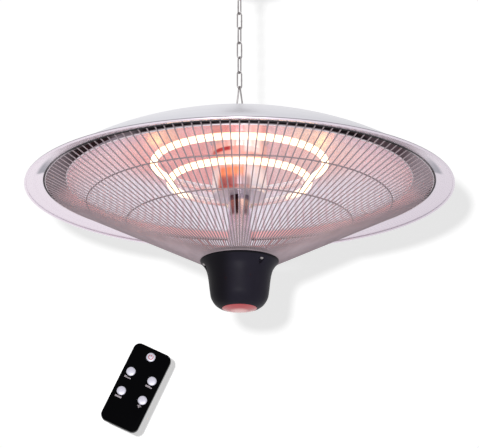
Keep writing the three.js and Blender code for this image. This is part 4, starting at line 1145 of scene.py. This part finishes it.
HUB_FLANGE = 54.2 * MM
HUB_HEIGHT = 68 * MM
HUB_WALL = 2.2 * MM
HUB_EDGE = 0.3 * MM
HUB_BEVEL_ANGLE = math.radians(60)
HUB_SHARES = [
    (1, 0), (1, 0.03), (0.923, 0.1), (0.849, 0.205), (0.797, 0.38),
    (0.753, 0.665), (0.72, 0.79), (0.628, 0.91), (0.52, 0.975),
]
BOSS_RADIUS = 6 * MM
BOSS_HEIGHT = 18 * MM
RECESS_RADIUS = 3.6 * MM
RECESS_DROP = 6 * MM
SCREW_HOLE = 1.9 * MM
SCREW_CIRCLE = 48.5 * MM
SCREW_TURN = math.radians(38)
HUB_SCREW = (2.9 * MM, 2 * MM, 0.8 * MM)  # head's radius and height, and the width of its recess
SCREW_SHANK = 1.6 * MM
SCREW_SUNK = 0.1 * MM  # how far the shank starts inside the head
LENS_RADIUS = 24 * MM
LENS_SHARES = [0, 0.15, 0.3, 0.45, 0.6, 0.72, 0.83, 0.91, 0.97, 1]
LENS_POWER = 0.9
LENS_FLANGE = (3 * MM, 2 * MM)  # its width and its height
LENS_WALL = 2.5 * MM
HUB_SHEET = 1.5 * MM
HUB_SHEET_EDGE = (0.5 * MM, 0.4 * MM)  # inwards and up
WIRE_HOLE = 3 * MM
WIRE_HOLE_OFFSET = 11.2 * MM
POST_RADIUS = 2.5 * MM
POST_OFFSET = 26 * MM
POST_EDGE = 0.3 * MM


def hub_outline():
    points = [(HUB_FLANGE * r, 0, HUB_TOP - HUB_HEIGHT * d) for r, d in HUB_SHARES]
    points.append((LENS_RADIUS + SEAT_GAP, 0, HUB_TOP - HUB_HEIGHT))
    smooth = eased(points[1:], 8)
    return [(points[0][0], points[0][2])] + [(p.x, p.z) for p in smooth]


def screw_places():
    turns = [SCREW_TURN + i * FULL_TURN / 3 for i in range(3)]
    return [(SCREW_CIRCLE * math.sin(t), -SCREW_CIRCLE * math.cos(t)) for t in turns]


def screw_well(spot):
    recess = drum(RECESS_RADIUS, HUB_TOP - HUB_HEIGHT, HUB_TOP - RECESS_DROP, BOSS_STEPS, place=spot)
    hole = drum(SCREW_HOLE, HUB_TOP - HUB_HEIGHT, HUB_TOP + OVERRUN, SMALL_STEPS, place=spot)
    return recess, hole


def make_hub():
    outline = hub_outline()
    inside = shifted(outline, HUB_WALL)
    inside[0] = (HUB_FLANGE - HUB_WALL, HUB_TOP)
    inside[-1] = (LENS_RADIUS + SEAT_GAP, HUB_TOP - HUB_HEIGHT + HUB_WALL)
    cutters = [cutter for spot in screw_places() for cutter in screw_well(spot)]
    housing = carved(spun([*outline, *inside[::-1]], HUB_STEPS, closed=True), *cutters)
    bevelled(housing, sharp_edges(housing, HUB_BEVEL_ANGLE), HUB_EDGE, 2)
    core = shifted(outline, HUB_WALL / 2)  # the bosses end inside the wall
    bosses = []
    for spot in screw_places():
        filled = spun([(0, core[0][1]), *core, (0, core[-1][1])], HUB_STEPS)
        boss = drum(BOSS_RADIUS, HUB_TOP - BOSS_HEIGHT, HUB_TOP - MERGE, BOSS_STEPS, place=spot)
        bosses.append(carved(shaped(boss, "INTERSECT", filled), *screw_well(spot)))
    piece("hub_shell", merged(housing, *bosses), black_plastic, "hub_housing")
    for i, place in enumerate(screw_places(), 1):
        node = f"hub_screw_{i}"
        bottom, top = heights(node)
        seat = bottom + HUB_SCREW[1]
        shank = drum(SCREW_SHANK, seat - SCREW_SUNK, top, SMALL_STEPS, place=place)
        piece(f"cross_screw_{i}", merged(screw(place, seat, *HUB_SCREW), shank), zinc, node)


def make_lens():
    bottom, top = heights("hub_lens")
    edge = HUB_TOP - HUB_HEIGHT
    falls = [(edge - bottom) * math.cos(share * QUARTER_TURN) ** LENS_POWER for share in LENS_SHARES]
    dome = [(LENS_RADIUS * share, edge - fall) for share, fall in zip(LENS_SHARES, falls)]
    width, height = LENS_FLANGE
    flange = [(LENS_RADIUS, top - height), (LENS_RADIUS + width, top - height), (LENS_RADIUS + width, top)]
    inner = LENS_RADIUS - LENS_WALL
    inside = [(inner, top), (inner, edge), (0, bottom + LENS_WALL)]
    piece("tinted_lens", spun([*dome, *flange, *inside], SLEEVE_STEPS), lens_plastic, "hub_lens")


def make_hub_plate():
    bottom, top = heights("hub_plate")
    radius = -low("hub_plate").y
    under = top - HUB_SHEET
    inwards, upwards = HUB_SHEET_EDGE
    lower = [(ROD_HOLE, under), (radius - inwards, under), (radius, under + upwards)]
    upper = [(radius, top - upwards), (radius - inwards, top), (ROD_HOLE, top)]
    disc = spun(lower + upper, HUB_STEPS, closed=True)
    cut = under - HUB_SHEET, top + HUB_SHEET
    holes = [drum(SCREW_HOLE, *cut, SMALL_STEPS, place=spot) for spot in screw_places()]
    holes.append(drum(WIRE_HOLE, *cut, SMALL_STEPS, place=(0, WIRE_HOLE_OFFSET)))
    spots = [(side * POST_OFFSET, 0) for side in (-1, 1)]
    posts = [drum(POST_RADIUS, bottom, under, SMALL_STEPS, POST_EDGE, place=spot) for spot in spots]
    piece("hub_disc", merged(carved(disc, *holes), *posts), guard_metal, "hub_plate")


# Remote control, made lying on its back with its face up, then stood up and leant

REMOTE_TILT = math.radians(25.3)
REMOTE_WIDTH = 51.3 * MM
REMOTE_LENGTH = 109 * MM
REMOTE_CORNER = 8.5 * MM
REMOTE_HALF = 4.5 * MM  # the thickness of each of the two shells
REMOTE_WALL = 1.6 * MM
REMOTE_FACE = 1.8 * MM  # thickness of the front shell's face
REMOTE_EDGE = 0.8 * MM
REMOTE_PLACE = Vector((middle("remote_board").x, high("remote_front").y, middle("remote_board").z))
STAND_UP = Matrix.Translation(REMOTE_PLACE) @ turned("Y", REMOTE_TILT) @ turned("X")
BUTTONS = {
    "power_button": (0, 43 * MM),
    "remote_button_1": (-14.8 * MM, 15.7 * MM),
    "remote_button_2": (14.8 * MM, 15.7 * MM),
    "remote_button_3": (-14.8 * MM, -11.8 * MM),
    "remote_button_4": (14.8 * MM, -11.8 * MM),
}
BUTTON_RADIUS = 5.7 * MM
BUTTON_PLAY = 0.25 * MM
BUTTON_LIFT = 0.9 * MM  # of its top over the front
BUTTON_EDGE = 0.75 * MM
BUTTON_FLANGE = (0.8 * MM, 0.7 * MM)  # its width and its height
PRINT_LIFT = 0.06 * MM  # how far the print stands proud, so that it shows
MARK_OFFSET = (0.5 * MM, 2.6 * MM)  # of a mark from its button: left, and down from the button's edge
STROKE_WIDTH = 1 * MM
STROKE_PITCH = 1.5 * MM
STROKE_HEIGHTS = (2.3 * MM, 1.3 * MM)
RING_MARK = (1 * MM, 1.6 * MM)
RAY_SIZE = (0.5 * MM, 0.8 * MM)
RAY_REACH = 2.3 * MM
SYMBOL_RADIUS = 2.9 * MM
SYMBOL_LINE = 0.5 * MM
SYMBOL_BAR = (0.6 * MM, 3.4 * MM)
SYMBOL_SUNK = 0.05 * MM
BOARD_SPACE = 1 * MM
FLOOR_SPACE = (11.2 * MM, 2.7 * MM)  # less than the shell's outside all round, and its depth
DRAWER = (25 * MM, 27 * MM)
DRAWER_PLAY = (0.6 * MM, 0.3 * MM)  # at its two sides together, and over it and behind it
DRAWER_TOP = 1.9 * MM  # under the joint of the shells
DRAWER_CORNER = 0.8 * MM
DRAWER_EDGE = 0.25 * MM
CELL_POCKET = (10.3 * MM, 0.6 * MM, 2 * MM)  # radius, floor, and how far up it is cut
GRIP_SIZE = (12 * MM, 0.7 * MM)
GRIP_DEPTH = 0.35 * MM
GRIP_START = 8 * MM
GRIP_PITCH = 1.4 * MM


def remote_piece(name, bm, finishes, *stands_for, body="root"):
    return piece(name, moved(bm, STAND_UP), finishes, *stands_for, body=body)


def remote_hollow(bottom, top):
    inside = REMOTE_WIDTH - 2 * REMOTE_WALL, REMOTE_LENGTH - 2 * REMOTE_WALL
    return slab(*inside, bottom, top, REMOTE_CORNER - REMOTE_WALL)


def printed(width, height):
    return slab(width, height, -PRINT_LIFT, PRINT_LIFT)


def make_remote():
    front = slab(REMOTE_WIDTH, REMOTE_LENGTH, 0, REMOTE_HALF, REMOTE_CORNER, steps=10)
    bevelled(front, edges_at(front, REMOTE_HALF), REMOTE_EDGE, 4)
    inside = remote_hollow(-OVERRUN, REMOTE_HALF - REMOTE_FACE)
    hole = BUTTON_RADIUS + BUTTON_PLAY
    holes = [drum(hole, 0, REMOTE_HALF + OVERRUN, place=place) for place in BUTTONS.values()]
    remote_piece("gloss_front", carved(front, inside, *holes), gloss_black, "remote_front")
    for name, place in BUTTONS.items():
        make_button(name, place)
    left, down = MARK_OFFSET
    for i, (x, y) in enumerate(list(BUTTONS.values())[1:], 1):
        mark = level_mark(i) if i < 4 else ring_mark()
        moved(mark, shift(x - left, y - BUTTON_RADIUS - down, REMOTE_HALF))
        remote_piece(f"printed_mark_{i}", mark, print_grey)
    make_remote_back()


def level_mark(count):
    """A row of printed strokes, of which two more are tall for each step of heat."""
    tall, short = STROKE_HEIGHTS
    strokes = []
    for k in range(6):
        height = tall if k < 2 * count else short
        stroke = printed(STROKE_WIDTH, height)
        strokes.append(moved(stroke, shift((k - 2.5) * STROKE_PITCH, (height - tall) / 2)))
    return merged(*strokes)


def ring_mark():
    """A printed ring with four short rays."""
    inner, outer = RING_MARK
    section = [(inner, -PRINT_LIFT), (outer, -PRINT_LIFT), (outer, PRINT_LIFT), (inner, PRINT_LIFT)]
    parts = [spun(section, SMALL_STEPS, closed=True)]
    for i in range(4):
        ray = moved(printed(*RAY_SIZE), shift(y=RAY_REACH))
        parts.append(moved(ray, turned("Z", i * QUARTER_TURN)))
    return merged(*parts)


def make_button(name, place):
    width, height = BUTTON_FLANGE
    flange_top = REMOTE_HALF - REMOTE_FACE - SEAT_GAP
    crown = REMOTE_HALF + BUTTON_LIFT
    brim = crown - BUTTON_EDGE
    wide = BUTTON_RADIUS + width
    profile = [(0, flange_top - height), (wide, flange_top - height), (wide, flange_top)]
    profile += [(BUTTON_RADIUS, flange_top), (BUTTON_RADIUS, brim)]
    for turn in [math.radians(degrees) for degrees in (20, 40, 60, 75, 90)]:
        profile.append((BUTTON_RADIUS * math.cos(turn), brim + BUTTON_EDGE * math.sin(turn)))
    cap = moved(spun(profile), shift(*place))
    remote_piece(name.replace("button", "key"), cap, button_silver, name, body=name)
    if name == "power_button":
        ring = [(x, y, 0) for x, y in arc((0, 0), SYMBOL_RADIUS, 130, 280, 24)]
        bar = [(0, y, 0) for y in SYMBOL_BAR]
        symbol = merged(wire(ring, SYMBOL_LINE), wire(bar, SYMBOL_LINE))
        moved(symbol, shift(*place, crown - SYMBOL_SUNK))
        remote_piece("power_symbol", symbol, icon_red, body=name)


def make_remote_back():
    foot = -REMOTE_LENGTH / 2
    back = slab(REMOTE_WIDTH, REMOTE_LENGTH, -REMOTE_HALF, -SEAT_GAP, REMOTE_CORNER, steps=10)
    bevelled(back, edges_at(back, -REMOTE_HALF), REMOTE_EDGE, 4)
    board_space = remote_hollow(-BOARD_SPACE, OVERRUN)
    less, depth = FLOOR_SPACE
    floor_space = slab(REMOTE_WIDTH - less, REMOTE_LENGTH - less, -depth, OVERRUN)
    width, length = DRAWER
    beside, above = DRAWER_PLAY
    slot_length = length + above + OVERRUN
    slot = slab(width + beside, slot_length, -REMOTE_HALF - OVERRUN, above - DRAWER_TOP)
    moved(slot, shift(y=foot + slot_length / 2 - OVERRUN))
    shell = carved(back, board_space, floor_space, slot)
    remote_piece("gloss_back", shell, gloss_black, "remote_back")
    tray = slab(*DRAWER, -REMOTE_HALF, -DRAWER_TOP, DRAWER_CORNER, DRAWER_EDGE, 3)
    pocket_radius, floor, cut = CELL_POCKET
    tools = [drum(pocket_radius, -REMOTE_HALF + floor, cut, SLEEVE_STEPS)]
    for i in range(4):
        groove = slab(*GRIP_SIZE, -REMOTE_HALF - OVERRUN, -REMOTE_HALF + GRIP_DEPTH)
        tools.append(moved(groove, shift(y=-GRIP_START - i * GRIP_PITCH)))
    drawer = moved(carved(tray, *tools), shift(y=foot + length / 2))
    remote_piece("cell_drawer", drawer, gloss_black, "battery_drawer", body="battery_drawer")


# Inner pieces that keep their solids


def dress_inner_nodes():
    kept = {
        "terminal_block": terminal_grey,
        "wiring_loom": silicone,
        "control_board": board_green,
        "receiver_board": board_green,
        "remote_board": board_green,
        "coin_cell": cell_steel,
    }
    for node, material in kept.items():
        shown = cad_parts[node]
        shown.data.materials.clear()
        shown.data.materials.append(material)


# Studio: a white world, a floor far below, and pale boards that catch the shadows

FLOOR_DROP = 2300 * MM  # of the floor below the ceiling
WALL_DISTANCE = 2000 * MM  # of the backdrop behind the heater's axis
CARD_DISTANCE = 230 * MM  # of the card behind the remote
CARD_DOWN = 40 * MM  # of the card's middle from the remote
CARD_SIZE = (164 * MM, 172 * MM)
WALL_SIZE = (2600 * MM, 2600 * MM)
FLOOR_SIZE = (6000 * MM, 6000 * MM)
LAMP_PLACE = Vector((-88 * MM, 83 * MM, 221 * MM))  # of the key light from the camera: right, up, back
LAMP_RADIUS = 20 * MM
LAMP_POWER = 300
WALL_GLOW = 0.2
CARD_GLOW = 0.04
WORLD_STRENGTH = 0.62  # of the light that falls on the object, where the white that is seen has 1


def studio_white(name, shade):
    """White where light falls, grey in a shadow, and not there at all from behind."""
    made = bpy.data.materials.new(name)
    made.use_nodes = True
    tree = made.node_tree
    tree.nodes.clear()
    lit = add(tree, "ShaderNodeBsdfDiffuse", {"Color": linear("#f9f9f9")})
    base = add(tree, "ShaderNodeEmission", {"Color": linear("#ffffff"), "Strength": shade})
    both = add(tree, "ShaderNodeAddShader", {0: lit.outputs[0], 1: base.outputs[0]})
    unseen = add(tree, "ShaderNodeBsdfTransparent")
    side = add(tree, "ShaderNodeNewGeometry").outputs["Backfacing"]
    mix = add(tree, "ShaderNodeMixShader", {0: side, 1: both.outputs[0], 2: unseen.outputs[0]})
    add(tree, "ShaderNodeOutputMaterial", {0: mix.outputs[0]})
    return made


def board(name, size, matrix, material):
    bm = bmesh.new()
    stretch = Matrix.Diagonal((*size, 1, 1))
    bmesh.ops.create_grid(bm, x_segments=1, y_segments=1, size=0.5, matrix=matrix @ stretch)
    mesh = meshed(name, bm)
    mesh.materials.append(material)
    made = linked(name, mesh)
    made.visible_shadow = False
    made.visible_diffuse = False
    made.visible_glossy = False
    made.visible_transmission = False


def make_studio():
    white = studio_white("studio_white", WALL_GLOW)
    card_white = studio_white("card_white", CARD_GLOW)
    facing = turned("X", QUARTER_TURN + CAMERA_PITCH)
    view = facing.to_3x3() @ Vector((0, 0, -1))
    wall = Matrix.Translation(Vector((0, 0, RIM_Z)) + view * WALL_DISTANCE) @ facing
    card = Matrix.Translation(REMOTE_PLACE + view * CARD_DISTANCE) @ facing @ shift(y=-CARD_DOWN)
    board("backdrop", WALL_SIZE, wall, white)
    board("remote_card", CARD_SIZE, card, card_white)
    board("floor", FLOOR_SIZE, shift(z=-FLOOR_DROP), white)
    lamp = bpy.data.lights.new("key", "POINT")
    lamp.energy = LAMP_POWER
    lamp.shadow_soft_size = LAMP_RADIUS
    holder = linked("key", lamp)
    holder.location = Vector((0, -CAMERA_BACK, RIM_Z - CAMERA_DROP)) + facing @ LAMP_PLACE
    holder.visible_camera = False
    world = bpy.data.worlds.new("studio")
    scene.world = world
    world.use_nodes = True
    tree = world.node_tree
    tree.nodes.clear()
    ray = add(tree, "ShaderNodeLightPath")
    seen = {0: ray.outputs["Is Camera Ray"], 1: ray.outputs["Is Glossy Ray"]}
    either = add(tree, "ShaderNodeMath", seen, operation="ADD")
    through = {0: either.outputs[0], 1: ray.outputs["Is Transmission Ray"]}
    plain = add(tree, "ShaderNodeMath", through, operation="ADD", use_clamp=True)
    levels = {"Value": plain.outputs[0], "To Min": WORLD_STRENGTH, "To Max": 1.0}
    strength = add(tree, "ShaderNodeMapRange", levels).outputs[0]
    sky = add(tree, "ShaderNodeBackground", {"Color": linear("#ffffff"), "Strength": strength})
    add(tree, "ShaderNodeOutputWorld", {0: sky.outputs[0]})


scene.view_settings.view_transform = "Standard"
make_camera()
make_dish()
make_reflector()
make_spacers()
make_rod()
make_nuts()
make_bail()
make_bracket()
make_links()
make_hook()
make_plate()
make_cover()
make_gland()
make_can()
make_column()
make_lamps()
make_guard()
make_hub()
make_lens()
make_hub_plate()
make_remote()
dress_inner_nodes()
make_studio()
